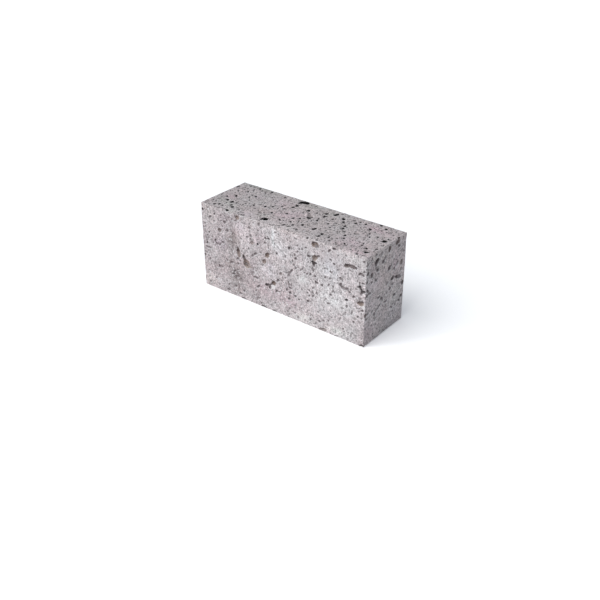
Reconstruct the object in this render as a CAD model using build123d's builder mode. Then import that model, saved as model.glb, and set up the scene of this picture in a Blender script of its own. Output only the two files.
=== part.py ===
"""Concrete paving brick: one pressed concrete block with worn arrises and open blow holes.

The brick stands on its bedding face, as it is laid in a path. +X runs along its length, +Y across
its width from the front face to the back, +Z up. The origin is the centre of the bedding face.
"""

import os
from random import Random
from typing import NamedTuple

from build123d import *

# Driving dimensions, in millimetres
brick_length = 210.0
brick_width = 70.0
brick_height = 98.0
arris_radius = 1.0


class BlowHole(NamedTuple):
    """A rounded hollow left in a face by an air bubble or by a lost grain of gravel.

    across and up place its centre as shares of the face, from the lower left corner of the face
    seen from outside. length and width are those of its oval mouth and depth is how far it goes
    in, all in millimetres. turn is the angle in degrees of the mouth's length, anticlockwise from
    the face's across direction.
    """

    across: float
    up: float
    length: float
    width: float
    depth: float
    turn: float


# Main blow holes of the front, the top and the right end
front_holes = (
    BlowHole(across=0.286, up=0.480, length=11.6, width=6.0, depth=2.8, turn=-62),
    BlowHole(across=0.294, up=0.454, length=9.6, width=4.6, depth=2.4, turn=-14),
    BlowHole(across=0.238, up=0.569, length=12.0, width=4.0, depth=1.8, turn=-80),
    BlowHole(across=0.466, up=0.355, length=5.8, width=4.8, depth=2.4, turn=60),
    BlowHole(across=0.430, up=0.298, length=9.4, width=3.8, depth=1.9, turn=-4),
    BlowHole(across=0.716, up=0.963, length=9.0, width=6.0, depth=2.6, turn=-4),
    BlowHole(across=0.713, up=0.816, length=7.0, width=4.2, depth=1.2, turn=25),
    BlowHole(across=0.707, up=0.747, length=5.6, width=3.4, depth=1.8, turn=-80),
    BlowHole(across=0.912, up=0.859, length=14.0, width=4.2, depth=2.2, turn=4),
    BlowHole(across=0.972, up=0.812, length=7.0, width=3.2, depth=1.6, turn=6),
    BlowHole(across=0.878, up=0.610, length=10.4, width=3.0, depth=1.5, turn=-24),
    BlowHole(across=0.968, up=0.676, length=4.8, width=4.2, depth=1.9, turn=-50),
    BlowHole(across=0.983, up=0.635, length=5.6, width=3.4, depth=1.8, turn=18),
    BlowHole(across=0.975, up=0.504, length=7.8, width=5.2, depth=2.1, turn=-8),
    BlowHole(across=0.981, up=0.422, length=5.8, width=2.8, depth=1.4, turn=28),
    BlowHole(across=0.428, up=0.659, length=6.6, width=4.4, depth=2.0, turn=55),
    BlowHole(across=0.406, up=0.568, length=5.0, width=4.4, depth=1.2, turn=60),
    BlowHole(across=0.578, up=0.578, length=5.6, width=2.2, depth=1.2, turn=55),
    BlowHole(across=0.105, up=0.578, length=9.6, width=2.8, depth=1.1, turn=6),
    BlowHole(across=0.117, up=0.749, length=4.4, width=4.0, depth=1.4, turn=70),
    BlowHole(across=0.563, up=0.829, length=3.4, width=3.0, depth=1.4, turn=10),
    BlowHole(across=0.368, up=0.748, length=2.9, width=2.6, depth=1.5, turn=20),
    BlowHole(across=0.901, up=0.485, length=3.4, width=2.6, depth=1.3, turn=15),
)
top_holes = (
    BlowHole(across=0.381, up=0.129, length=8.4, width=6.8, depth=3.6, turn=0),
    BlowHole(across=0.410, up=0.937, length=11.6, width=7.0, depth=3.6, turn=32),
    BlowHole(across=0.402, up=0.740, length=12.0, width=3.2, depth=1.9, turn=80),
    BlowHole(across=0.526, up=0.609, length=11.6, width=5.0, depth=1.8, turn=-50),
    BlowHole(across=0.623, up=0.880, length=6.6, width=4.8, depth=2.6, turn=80),
    BlowHole(across=0.579, up=0.823, length=5.6, width=3.8, depth=2.0, turn=-80),
    BlowHole(across=0.591, up=0.724, length=5.8, width=4.0, depth=2.1, turn=85),
    BlowHole(across=0.681, up=0.819, length=5.6, width=3.8, depth=2.2, turn=-60),
    BlowHole(across=0.697, up=0.740, length=4.8, width=3.2, depth=1.8, turn=-75),
    BlowHole(across=0.488, up=0.749, length=5.0, width=3.6, depth=2.0, turn=-70),
    BlowHole(across=0.634, up=0.303, length=6.6, width=4.0, depth=2.2, turn=85),
    BlowHole(across=0.968, up=0.571, length=6.4, width=6.0, depth=2.9, turn=0),
    BlowHole(across=0.116, up=0.303, length=5.8, width=4.2, depth=2.3, turn=-65),
    BlowHole(across=0.083, up=0.320, length=5.2, width=3.4, depth=2.0, turn=-60),
    BlowHole(across=0.160, up=0.167, length=5.0, width=4.0, depth=2.2, turn=-40),
    BlowHole(across=0.164, up=0.034, length=6.0, width=4.6, depth=2.5, turn=-20),
    BlowHole(across=0.082, up=0.520, length=5.4, width=3.0, depth=1.8, turn=-55),
    BlowHole(across=0.230, up=0.409, length=5.0, width=2.9, depth=1.6, turn=-55),
    BlowHole(across=0.287, up=0.474, length=4.4, width=3.2, depth=1.8, turn=-55),
    BlowHole(across=0.317, up=0.540, length=4.4, width=3.0, depth=1.6, turn=-50),
    BlowHole(across=0.443, up=0.239, length=4.6, width=3.2, depth=1.8, turn=-50),
    BlowHole(across=0.508, up=0.451, length=4.2, width=2.8, depth=1.6, turn=-55),
    BlowHole(across=0.527, up=0.220, length=4.6, width=3.2, depth=1.6, turn=-60),
    BlowHole(across=0.564, up=0.303, length=5.2, width=3.0, depth=1.6, turn=-65),
    BlowHole(across=0.588, up=0.551, length=4.8, width=2.8, depth=1.5, turn=-75),
    BlowHole(across=0.730, up=0.637, length=4.8, width=3.2, depth=1.8, turn=-65),
    BlowHole(across=0.738, up=0.554, length=5.0, width=3.4, depth=2.0, turn=-75),
    BlowHole(across=0.788, up=0.389, length=5.0, width=3.2, depth=1.7, turn=-80),
    BlowHole(across=0.696, up=0.236, length=5.0, width=3.8, depth=2.0, turn=-60),
    BlowHole(across=0.696, up=0.154, length=5.2, width=3.2, depth=1.7, turn=85),
    BlowHole(across=0.837, up=0.180, length=4.2, width=3.0, depth=1.6, turn=-40),
    BlowHole(across=0.905, up=0.309, length=6.8, width=2.9, depth=1.7, turn=-75),
    BlowHole(across=0.941, up=0.243, length=4.4, width=3.0, depth=1.6, turn=-50),
    BlowHole(across=0.962, up=0.143, length=5.0, width=4.0, depth=2.0, turn=40),
    BlowHole(across=0.845, up=0.757, length=5.4, width=3.2, depth=1.8, turn=-70),
    BlowHole(across=0.903, up=0.900, length=5.0, width=3.2, depth=1.8, turn=-60),
    BlowHole(across=0.863, up=0.969, length=4.4, width=3.2, depth=1.7, turn=-30),
    BlowHole(across=0.752, up=0.816, length=4.8, width=3.6, depth=1.6, turn=-60),
)
right_end_holes = (
    BlowHole(across=0.240, up=0.906, length=7.8, width=4.4, depth=2.4, turn=8),
    BlowHole(across=0.231, up=0.878, length=5.4, width=3.8, depth=2.0, turn=75),
    BlowHole(across=0.269, up=0.800, length=5.8, width=3.6, depth=1.8, turn=-20),
    BlowHole(across=0.134, up=0.784, length=6.6, width=6.0, depth=2.2, turn=80),
    BlowHole(across=0.420, up=0.860, length=6.4, width=4.0, depth=1.8, turn=35),
    BlowHole(across=0.554, up=0.945, length=6.2, width=4.8, depth=2.0, turn=85),
    BlowHole(across=0.571, up=0.731, length=5.8, width=4.6, depth=2.0, turn=60),
    BlowHole(across=0.766, up=0.966, length=8.2, width=5.8, depth=2.0, turn=4),
    BlowHole(across=0.891, up=0.705, length=6.4, width=5.0, depth=2.1, turn=-85),
    BlowHole(across=0.820, up=0.563, length=12.5, width=4.2, depth=1.8, turn=-22),
    BlowHole(across=0.671, up=0.589, length=6.0, width=4.0, depth=1.7, turn=10),
    BlowHole(across=0.041, up=0.831, length=5.2, width=3.6, depth=1.6, turn=0),
    BlowHole(across=0.957, up=0.451, length=4.8, width=4.0, depth=1.7, turn=-35),
    BlowHole(across=0.403, up=0.439, length=5.0, width=3.2, depth=1.3, turn=-20),
    BlowHole(across=0.934, up=0.302, length=4.8, width=3.0, depth=1.3, turn=0),
    BlowHole(across=0.237, up=0.698, length=3.4, width=2.8, depth=1.6, turn=-40),
    BlowHole(across=0.026, up=0.364, length=3.6, width=4.2, depth=1.3, turn=0),
)


# Share of the cells of a face with scattered holes that get one
filled_share = 0.7


def scattered_holes(columns, rows, seed):
    """Blow holes at chance places of a face.

    The face is divided into columns and rows of equal cells, and most cells get one hole, away from the
    cell's edges. A seed gives the same holes each time.
    """
    chance = Random(seed)
    holes = []
    for column in range(columns):
        for row in range(rows):
            length = chance.uniform(3.8, 6.2)
            width = length * chance.uniform(0.55, 0.9)
            hole = BlowHole(
                across=(column + chance.uniform(0.25, 0.75)) / columns,
                up=(row + chance.uniform(0.25, 0.75)) / rows,
                length=length,
                width=width,
                depth=width * chance.uniform(0.42, 0.52),
                turn=chance.uniform(-90, 90),
            )
            if chance.random() < filled_share:
                holes.append(hole)
    return holes


# Main blow holes of the back, the left end and the underside
back_holes = scattered_holes(columns=9, rows=4, seed=14)
left_end_holes = scattered_holes(columns=3, rows=4, seed=15)
underside_holes = scattered_holes(columns=9, rows=3, seed=16)

# Faces that carry blow holes: local x runs across the face, local y up it, local z out of it
front_face = Plane(origin=(0, -brick_width / 2, brick_height / 2), x_dir=(1, 0, 0), z_dir=(0, -1, 0))
top_face = Plane(origin=(0, 0, brick_height), x_dir=(1, 0, 0), z_dir=(0, 0, 1))
right_end_face = Plane(origin=(brick_length / 2, 0, brick_height / 2), x_dir=(0, 1, 0), z_dir=(1, 0, 0))
back_face = Plane(origin=(0, brick_width / 2, brick_height / 2), x_dir=(-1, 0, 0), z_dir=(0, 1, 0))
left_end_face = Plane(origin=(-brick_length / 2, 0, brick_height / 2), x_dir=(0, -1, 0), z_dir=(-1, 0, 0))
underside_face = Plane(origin=(0, 0, 0), x_dir=(1, 0, 0), z_dir=(0, 0, -1))
pitted_faces = (
    (front_face, brick_length, brick_height, front_holes),
    (top_face, brick_length, brick_width, top_holes),
    (right_end_face, brick_width, brick_height, right_end_holes),
    (back_face, brick_length, brick_height, back_holes),
    (left_end_face, brick_width, brick_height, left_end_holes),
    (underside_face, brick_length, brick_width, underside_holes),
)


def bubble(hole, face, face_length, face_height):
    """A ball drawn out to the hole's three half sizes, with its middle plane on the face."""
    ball = scale(Sphere(radius=1), by=(hole.length / 2, hole.width / 2, hole.depth))
    mouth_centre = ((hole.across - 0.5) * face_length, (hole.up - 0.5) * face_height, 0)
    return ball.moved(face.location * Location(mouth_centre, (0, 0, hole.turn)))


bubbles = [bubble(hole, *face_sizes) for *face_sizes, holes in pitted_faces for hole in holes]

with BuildPart() as paving_brick:
    Box(brick_length, brick_width, brick_height, align=(Align.CENTER, Align.CENTER, Align.MIN))
    fillet(paving_brick.edges(), radius=arris_radius)
    add(bubbles, mode=Mode.SUBTRACT)

paving_brick.part.label = "paving_brick"

os.makedirs("parts", exist_ok=True)
export_step(paving_brick.part, "parts/paving_brick.step")
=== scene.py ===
"""Looks of the concrete paving brick: its sandy skin, blow holes, stains and worn arrises."""

import math
from random import Random
from typing import NamedTuple

import bpy
import numpy as np
from bpy.props import FloatProperty, FloatVectorProperty, IntProperty, PointerProperty
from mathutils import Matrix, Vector


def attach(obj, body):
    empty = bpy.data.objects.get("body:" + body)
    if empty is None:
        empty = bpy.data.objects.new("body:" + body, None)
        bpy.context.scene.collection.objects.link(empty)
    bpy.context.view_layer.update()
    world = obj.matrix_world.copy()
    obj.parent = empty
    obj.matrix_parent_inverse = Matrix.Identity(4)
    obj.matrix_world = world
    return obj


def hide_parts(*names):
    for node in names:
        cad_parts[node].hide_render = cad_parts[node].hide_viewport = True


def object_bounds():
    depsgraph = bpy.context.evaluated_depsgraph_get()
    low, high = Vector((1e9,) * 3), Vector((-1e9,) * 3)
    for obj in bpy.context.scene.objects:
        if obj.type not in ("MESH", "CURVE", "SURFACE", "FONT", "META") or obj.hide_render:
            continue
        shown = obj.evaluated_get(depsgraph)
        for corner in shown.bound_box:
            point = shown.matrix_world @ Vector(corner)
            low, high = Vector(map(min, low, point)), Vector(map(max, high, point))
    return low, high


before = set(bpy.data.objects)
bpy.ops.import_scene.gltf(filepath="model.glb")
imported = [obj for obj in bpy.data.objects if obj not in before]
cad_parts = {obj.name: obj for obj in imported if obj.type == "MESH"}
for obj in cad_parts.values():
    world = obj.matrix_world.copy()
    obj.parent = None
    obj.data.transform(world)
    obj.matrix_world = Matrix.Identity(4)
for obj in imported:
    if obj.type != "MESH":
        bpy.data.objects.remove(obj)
cad_low, cad_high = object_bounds()
cad_size = cad_high - cad_low

bl_info = {
    "name": "Concrete Paving Brick",
    "version": (1, 0, 0),
    "blender": (4, 5, 0),
    "location": "View3D > Sidebar > Paving",
    "description": "Dresses a pressed concrete paving brick and sets it on a studio floor",
    "category": "Object",
}

MM = 0.001
BRICK_NODE = "paving_brick"
BRICK_PIECE = "pressed_brick"


class Face(NamedTuple):
    """A face of the block, by unit vectors to its right and up it, as it is seen from outside."""

    right: tuple
    up: tuple


class Hollow(NamedTuple):
    """An open blow hole with an oval mouth.

    right and down place its middle from the face's upper left corner; length, width and depth are its
    sizes, all in millimetres. turn is the angle of its length, anticlockwise, in degrees. taper widens
    one end and narrows the other, as a share of the width. bow is how far its ends rise above its middle.
    dirt_and_shade is how dark it is inside, from grime and painted shade: 0 is clean, 1 usual, 2 black, a
    painted shadow.
    """

    right: float
    down: float
    length: float
    width: float
    depth: float
    turn: float
    taper: float = 0.0
    bow: float = 0.0
    dirt_and_shade: float = 1.0


class Oval(NamedTuple):
    """A flat oval on a face, placed and shaped as a hollow's mouth is."""

    right: float
    down: float
    length: float
    width: float
    turn: float = 0.0
    taper: float = 0.0
    bow: float = 0.0


class FaceFinish(NamedTuple):
    """What the skin of a face is like.

    darkness is how black its hollows are, a painted shade, grain how strong its mottling is and coarseness
    its relief.
    rim and breadth are what the distance inside a rim and the width of a hollow are multiplied by before
    the edge and colour of its hollows' grime and painted shade are picked. It has a count of small hollows,
    up to widest millimetres wide, at places that the seed picks.
    """

    darkness: float
    grain: float
    coarseness: float
    rim: float
    breadth: float
    count: int
    widest: float
    seed: int


class Stain(NamedTuple):
    """A soft-edged oval of dirt, lime or tint, placed as a hollow is.

    tone is how much paler the face is there or, below zero, darker. pink and violet are how far its colour
    leans that way or, below zero, to green and to yellow.
    """

    right: float
    down: float
    length: float
    width: float
    turn: float
    tone: float
    pink: float = 0.0
    violet: float = 0.0


# The faces of the block
FRONT = Face((1, 0, 0), (0, 0, 1))
BACK = Face((-1, 0, 0), (0, 0, 1))
TOP = Face((1, 0, 0), (0, 1, 0))
UNDERSIDE = Face((1, 0, 0), (0, -1, 0))
RIGHT_END = Face((0, 1, 0), (0, 0, 1))
LEFT_END = Face((0, -1, 0), (0, 0, 1))

# Skin of each face: darkness (painted shade in its hollows), grain, coarseness, rim, breadth, count, widest,
# seed
FACE_FINISHES = {
    FRONT: FaceFinish(0.0, 1.0, 1.0, 1.0, 1.0, 70, 2.2, 11),
    TOP: FaceFinish(1.0, 0.65, 0.5, 1.0, 1.0, 90, 2.8, 22),
    RIGHT_END: FaceFinish(0.12, 0.9, 0.65, 0.6, 0.85, 24, 2.4, 13),
    BACK: FaceFinish(0.1, 0.9, 0.8, 1.0, 0.85, 130, 3.8, 14),
    LEFT_END: FaceFinish(0.12, 0.8, 0.65, 0.6, 0.85, 46, 3.8, 15),
    UNDERSIDE: FaceFinish(0.2, 0.8, 0.65, 0.8, 0.85, 80, 3.6, 16),
}
# Cells of the hidden faces, for their main hollows: columns, rows, seed
HIDDEN_CELLS = {BACK: (9, 4, 14), LEFT_END: (3, 4, 15), UNDERSIDE: (9, 3, 16)}

# Strength and fall-off of stains, and how much smoother some patches and arrises are
TONE_STRENGTH = 1.35
SOFT_FALL = 1.4
PATCH_SMOOTHING = 0.45
ARRIS_SMOOTHING = 0.6
SMOOTHER_ARRISES = ((BACK, TOP), (FRONT, UNDERSIDE))

# In millimetres: a distance well outside any rim, and how far behind the front still belongs to it
FAR_FROM_RIM = 3.0
FRONT_REACH = 4.0

# Hollows that show on each face: right, down, length, width, depth, turn
FRONT_HOLLOWS = (
    Hollow(60.8, 52.2, 12.4, 7.4, 2.6, -57, taper=0.7, dirt_and_shade=0.76),
    Hollow(58.0, 46.9, 7.2, 3.6, 2.0, -66, dirt_and_shade=1.3),
    Hollow(62.6, 54.9, 11.2, 4.8, 2.2, -8, dirt_and_shade=0.74),
    Hollow(50.6, 43.0, 12.0, 4.4, 1.8, -80, taper=0.4, dirt_and_shade=0.95),
    Hollow(98.2, 64.4, 5.8, 4.8, 2.2, 60, taper=-0.5, dirt_and_shade=1.15),
    Hollow(90.6, 69.4, 9.4, 3.2, 1.8, -2, bow=-1.0, dirt_and_shade=1.0),
    Hollow(92.4, 71.2, 3.8, 2.8, 1.5, -50, dirt_and_shade=1.0),
    Hollow(94.8, 66.8, 5.4, 1.8, 1.2, 45, dirt_and_shade=1.1),
    Hollow(150.4, 4.6, 9.6, 6.8, 2.6, -4, bow=-0.6, dirt_and_shade=0.85),
    Hollow(147.6, 3.8, 4.6, 3.0, 2.0, 55, dirt_and_shade=1.1),
    Hollow(151.4, 6.4, 7.6, 2.8, 1.2, 2, dirt_and_shade=0.55),
    Hollow(150.2, 18.5, 7.8, 5.0, 1.4, 32, taper=-0.4, dirt_and_shade=0.85),
    Hollow(153.7, 16.2, 5.0, 1.7, 1.0, 42, dirt_and_shade=1.1),
    Hollow(142.8, 19.0, 3.2, 2.4, 1.4, 0, dirt_and_shade=1.3),
    Hollow(149.4, 23.9, 7.4, 2.5, 1.6, 2, dirt_and_shade=1.6),
    Hollow(148.7, 26.4, 4.6, 3.0, 1.7, -84, taper=-0.2, dirt_and_shade=1.3),
    Hollow(148.0, 32.2, 5.0, 2.8, 0.8, -76, dirt_and_shade=0.6),
    Hollow(191.4, 14.4, 14.0, 3.8, 2.2, 4, bow=-0.8),
    Hollow(187.2, 15.2, 5.4, 4.0, 2.0, 28, dirt_and_shade=1.2),
    Hollow(197.0, 14.2, 4.2, 2.6, 1.7, 4, dirt_and_shade=1.5),
    Hollow(203.9, 19.2, 7.0, 2.8, 1.5, 6, bow=-1.4, dirt_and_shade=1.1),
    Hollow(206.4, 19.6, 2.6, 2.0, 1.3, -40, dirt_and_shade=1.4),
    Hollow(184.2, 39.2, 10.4, 3.4, 1.3, -20, bow=1.8, dirt_and_shade=0.85),
    Hollow(188.4, 39.8, 4.0, 2.6, 1.1, 25, dirt_and_shade=0.9),
    Hollow(181.4, 37.2, 4.6, 2.8, 1.1, 62, dirt_and_shade=0.95),
    Hollow(203.2, 32.8, 4.4, 3.0, 1.7, 20, dirt_and_shade=1.45),
    Hollow(204.7, 34.5, 5.6, 1.7, 1.2, -52, dirt_and_shade=1.25),
    Hollow(200.6, 33.2, 3.2, 1.2, 0.7, 5, dirt_and_shade=0.7),
    Hollow(202.9, 28.6, 5.2, 1.5, 0.9, 75, dirt_and_shade=0.9),
    Hollow(200.2, 27.0, 5.0, 1.3, 0.7, 72, dirt_and_shade=0.75),
    Hollow(207.0, 36.6, 5.2, 2.8, 1.6, 22, dirt_and_shade=1.45),
    Hollow(205.0, 39.2, 4.8, 2.0, 1.2, 72, dirt_and_shade=1.05),
    Hollow(204.4, 45.0, 4.2, 2.6, 0.9, 80, dirt_and_shade=0.35),
    Hollow(204.6, 50.2, 7.8, 5.2, 1.9, -6, dirt_and_shade=0.88),
    Hollow(202.8, 49.9, 4.2, 3.2, 1.8, 25, dirt_and_shade=1.15),
    Hollow(206.8, 48.6, 3.6, 2.6, 1.5, 30, dirt_and_shade=1.5),
    Hollow(206.6, 57.4, 3.8, 1.9, 1.1, 35, dirt_and_shade=1.3),
    Hollow(203.2, 56.8, 2.6, 1.6, 0.8, 0, dirt_and_shade=0.8),
    Hollow(203.6, 59.4, 4.0, 1.5, 0.7, 30, dirt_and_shade=0.6),
    Hollow(89.8, 34.6, 6.8, 4.8, 1.9, 58, dirt_and_shade=0.95),
    Hollow(91.8, 32.6, 2.8, 2.0, 1.4, 30, dirt_and_shade=1.1),
    Hollow(85.6, 43.1, 5.2, 4.6, 1.2, 40, dirt_and_shade=0.88),
    Hollow(83.3, 47.8, 3.4, 2.8, 0.7, 60, dirt_and_shade=0.4),
    Hollow(121.5, 42.2, 5.6, 2.2, 1.2, 55),
    Hollow(118.7, 45.2, 3.6, 2.6, 1.0, 50, dirt_and_shade=0.9),
    Hollow(22.6, 41.2, 11.0, 2.2, 1.0, 4, bow=3.2, dirt_and_shade=0.85),
    Hollow(18.1, 39.2, 3.4, 2.6, 1.1, 50, dirt_and_shade=1.1),
    Hollow(29.3, 38.6, 3.0, 2.3, 1.0, 40, dirt_and_shade=1.0),
    Hollow(24.6, 42.5, 3.4, 2.4, 1.1, 20, dirt_and_shade=1.1),
    Hollow(25.0, 25.5, 4.4, 4.2, 1.3, 70, dirt_and_shade=0.85),
    Hollow(27.2, 24.8, 2.4, 2.2, 0.9, 30, dirt_and_shade=0.6),
    Hollow(50.6, 3.8, 5.2, 5.0, 1.0, 0, dirt_and_shade=0.85),
    Hollow(48.4, 8.2, 3.8, 2.4, 0.8, 10, dirt_and_shade=0.85),
    Hollow(43.7, 7.4, 4.2, 1.6, 0.6, 45, dirt_and_shade=0.5),
    Hollow(118.3, 17.6, 3.4, 3.0, 1.4, 10, dirt_and_shade=1.2),
    Hollow(88.1, 16.4, 3.2, 2.4, 1.0, 0),
    Hollow(92.2, 15.6, 3.2, 2.0, 0.9, 5),
    Hollow(87.9, 21.6, 2.8, 2.2, 0.8, 0, dirt_and_shade=0.8),
    Hollow(67.2, 14.6, 3.2, 2.0, 0.8, 70, dirt_and_shade=0.7),
    Hollow(68.2, 19.2, 3.6, 2.6, 0.8, -55, dirt_and_shade=0.75),
    Hollow(68.6, 23.0, 2.6, 1.8, 0.7, -70, dirt_and_shade=0.65),
    Hollow(70.4, 26.8, 4.8, 4.4, 0.9, 60, dirt_and_shade=0.72),
    Hollow(167.3, 5.8, 4.8, 2.2, 1.1, 45, dirt_and_shade=1.1),
    Hollow(173.0, 2.0, 5.0, 2.6, 1.0, 15, dirt_and_shade=1.0),
    Hollow(77.4, 25.6, 2.9, 2.1, 1.4, 25, dirt_and_shade=1.7),
    Hollow(32.5, 14.2, 4.4, 3.4, 1.0, -50, dirt_and_shade=0.95),
    Hollow(27.6, 13.8, 3.2, 2.0, 0.8, 20, dirt_and_shade=0.8),
    Hollow(29.7, 19.6, 3.2, 2.0, 0.8, 15, dirt_and_shade=0.8),
    Hollow(103.5, 59.2, 3.8, 2.6, 1.1, 40),
    Hollow(102.2, 72.3, 3.2, 2.2, 1.0, 40),
    Hollow(76.7, 75.4, 5.2, 2.5, 1.0, 40),
    Hollow(188.7, 51.6, 3.6, 2.4, 1.3, 12, dirt_and_shade=1.6),
    Hollow(142.4, 69.4, 3.0, 2.4, 1.2, 80, dirt_and_shade=1.2),
    Hollow(2.2, 7.7, 2.8, 3.6, 1.2, 0, dirt_and_shade=1.35),
    Hollow(12.6, 13.1, 4.2, 2.0, 0.9, 25),
    Hollow(18.8, 8.1, 2.8, 2.4, 0.9, 60, dirt_and_shade=1.0),
    Hollow(36.5, 22.3, 3.8, 2.8, 0.8, 40, dirt_and_shade=0.7),
    Hollow(63.8, 22.2, 3.4, 3.0, 0.9, 0, dirt_and_shade=0.85),
    Hollow(66.6, 10.6, 4.2, 2.4, 0.8, 20, dirt_and_shade=0.8),
    Hollow(102.5, 28.8, 2.6, 2.4, 1.2, 0, dirt_and_shade=1.1),
    Hollow(126.7, 27.1, 3.8, 2.4, 1.0, 10),
    Hollow(125.6, 23.0, 3.6, 2.6, 1.0, 0, dirt_and_shade=0.9),
    Hollow(124.6, 34.4, 2.6, 2.4, 0.9, 0, dirt_and_shade=0.8),
    Hollow(133.9, 36.6, 5.4, 1.6, 0.8, 52, dirt_and_shade=0.9),
    Hollow(139.3, 11.1, 3.0, 1.8, 1.0, 20, dirt_and_shade=1.1),
    Hollow(134.6, 13.8, 2.4, 2.2, 0.9, 0, dirt_and_shade=0.9),
    Hollow(128.6, 12.1, 3.0, 1.7, 0.8, 10, dirt_and_shade=0.8),
    Hollow(173.0, 17.8, 2.7, 2.3, 1.2, 40, dirt_and_shade=1.2),
    Hollow(169.9, 27.8, 3.4, 2.0, 0.8, 0, dirt_and_shade=0.9),
    Hollow(180.8, 30.8, 2.6, 2.4, 1.0, 60, dirt_and_shade=1.1),
    Hollow(195.7, 45.9, 2.8, 2.4, 1.0, 60, dirt_and_shade=1.1),
    Hollow(198.0, 45.2, 2.0, 1.5, 0.7, 0, dirt_and_shade=0.8),
    Hollow(191.8, 41.8, 2.2, 2.0, 0.9, 0, dirt_and_shade=1.1),
    Hollow(207.0, 27.8, 3.4, 1.8, 0.8, 0),
    Hollow(207.0, 5.0, 2.6, 2.4, 1.0, 0),
    Hollow(152.6, 44.8, 4.6, 2.4, 1.0, -8),
    Hollow(158.9, 45.6, 2.9, 2.5, 1.2, 0, dirt_and_shade=1.2),
    Hollow(150.2, 38.8, 3.2, 2.2, 0.9, 0, dirt_and_shade=0.9),
    Hollow(145.0, 38.3, 3.2, 2.0, 0.8, 45, dirt_and_shade=0.8),
    Hollow(140.8, 39.2, 2.7, 1.8, 0.9, 45),
    Hollow(137.5, 39.1, 2.2, 1.8, 0.8, 0, dirt_and_shade=0.9),
    Hollow(107.6, 50.2, 5.0, 4.0, 0.9, 35, dirt_and_shade=0.78),
    Hollow(73.9, 38.0, 4.4, 2.1, 0.9, 45),
    Hollow(70.1, 41.2, 4.6, 2.3, 0.8, 35, dirt_and_shade=0.8),
    Hollow(49.3, 51.0, 4.0, 2.5, 1.1, 52, dirt_and_shade=1.1),
    Hollow(6.4, 45.4, 3.0, 2.7, 1.0, 30, dirt_and_shade=1.1),
    Hollow(6.1, 50.4, 4.6, 2.4, 0.9, 0, dirt_and_shade=0.9),
    Hollow(9.9, 31.6, 2.8, 2.2, 0.9, 30),
    Hollow(9.4, 63.7, 2.7, 2.4, 1.0, -20, dirt_and_shade=1.1),
    Hollow(2.1, 60.8, 2.4, 3.6, 1.0, 0),
    Hollow(33.6, 57.2, 4.8, 2.4, 1.0, -68, taper=0.4, dirt_and_shade=1.0),
    Hollow(40.6, 58.2, 5.6, 3.0, 0.9, 20, dirt_and_shade=0.8),
    Hollow(49.4, 57.4, 3.4, 2.0, 0.8, 45, dirt_and_shade=0.7),
    Hollow(22.6, 68.8, 4.8, 2.2, 0.9, -60, dirt_and_shade=1.0),
    Hollow(26.5, 68.9, 2.4, 1.8, 0.8, 30, dirt_and_shade=0.8),
    Hollow(44.0, 67.8, 4.4, 2.0, 1.0, 50, dirt_and_shade=1.1),
    Hollow(42.3, 71.6, 3.8, 2.4, 1.0, 40, dirt_and_shade=1.1),
    Hollow(48.9, 72.8, 3.8, 2.7, 1.1, 15, dirt_and_shade=1.1),
    Hollow(48.9, 64.1, 3.2, 2.2, 0.8, 0, dirt_and_shade=0.7),
    Hollow(70.5, 60.8, 4.2, 2.1, 0.8, 0, dirt_and_shade=0.8),
    Hollow(72.3, 65.3, 4.0, 2.0, 0.8, 30, dirt_and_shade=0.95),
    Hollow(75.9, 65.4, 2.6, 1.6, 0.7, 10, dirt_and_shade=0.8),
    Hollow(117.6, 58.8, 8.0, 1.7, 0.7, 88, bow=2.6, dirt_and_shade=0.85),
    Hollow(121.9, 58.4, 8.0, 1.6, 0.6, -88, bow=2.6, dirt_and_shade=0.7),
    Hollow(119.6, 62.2, 4.0, 1.8, 0.8, 5, dirt_and_shade=1.05),
    Hollow(119.5, 67.6, 2.8, 2.4, 1.1, 0, dirt_and_shade=1.1),
    Hollow(115.3, 65.8, 3.2, 2.2, 0.9, 70),
    Hollow(126.1, 69.8, 2.8, 2.0, 1.0, 10, dirt_and_shade=1.1),
    Hollow(131.0, 72.1, 2.6, 2.1, 1.0, 30, dirt_and_shade=1.1),
    Hollow(118.1, 75.3, 4.2, 2.1, 0.8, 0, dirt_and_shade=0.8),
    Hollow(118.7, 86.8, 3.8, 3.0, 0.7, 0, dirt_and_shade=0.5),
    Hollow(116.1, 91.1, 2.8, 2.3, 0.9, 0, dirt_and_shade=0.8),
    Hollow(145.5, 90.1, 3.0, 2.1, 0.9, 80),
    Hollow(147.8, 58.0, 2.6, 2.0, 0.9, 0, dirt_and_shade=0.8),
    Hollow(148.0, 62.1, 3.8, 2.3, 0.9, 48, dirt_and_shade=0.95),
    Hollow(143.8, 56.8, 2.2, 2.0, 0.9, 90),
    Hollow(148.5, 52.6, 3.6, 1.8, 0.8, 5, dirt_and_shade=0.8),
    Hollow(156.9, 53.0, 2.7, 2.0, 0.9, 35, dirt_and_shade=0.8),
    Hollow(167.2, 63.2, 3.8, 2.4, 0.9, 15, dirt_and_shade=1.1),
    Hollow(164.0, 59.4, 3.2, 2.0, 0.7, 50, dirt_and_shade=0.7),
    Hollow(189.0, 58.6, 3.8, 2.1, 0.9, 58, dirt_and_shade=0.75),
    Hollow(184.0, 63.1, 2.8, 2.0, 0.8, 75, dirt_and_shade=0.75),
    Hollow(194.8, 63.6, 6.0, 1.8, 0.8, 85, dirt_and_shade=0.8),
    Hollow(197.7, 73.3, 2.4, 2.2, 0.9, 0),
    Hollow(206.7, 66.2, 2.6, 2.0, 0.9, 50, dirt_and_shade=0.75),
    Hollow(181.2, 75.8, 6.4, 1.3, 0.6, 62, dirt_and_shade=0.7),
    Hollow(167.9, 83.3, 3.2, 2.1, 0.8, 80, dirt_and_shade=0.8),
    Hollow(161.4, 85.3, 4.2, 2.1, 0.8, 15, dirt_and_shade=0.7),
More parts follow.
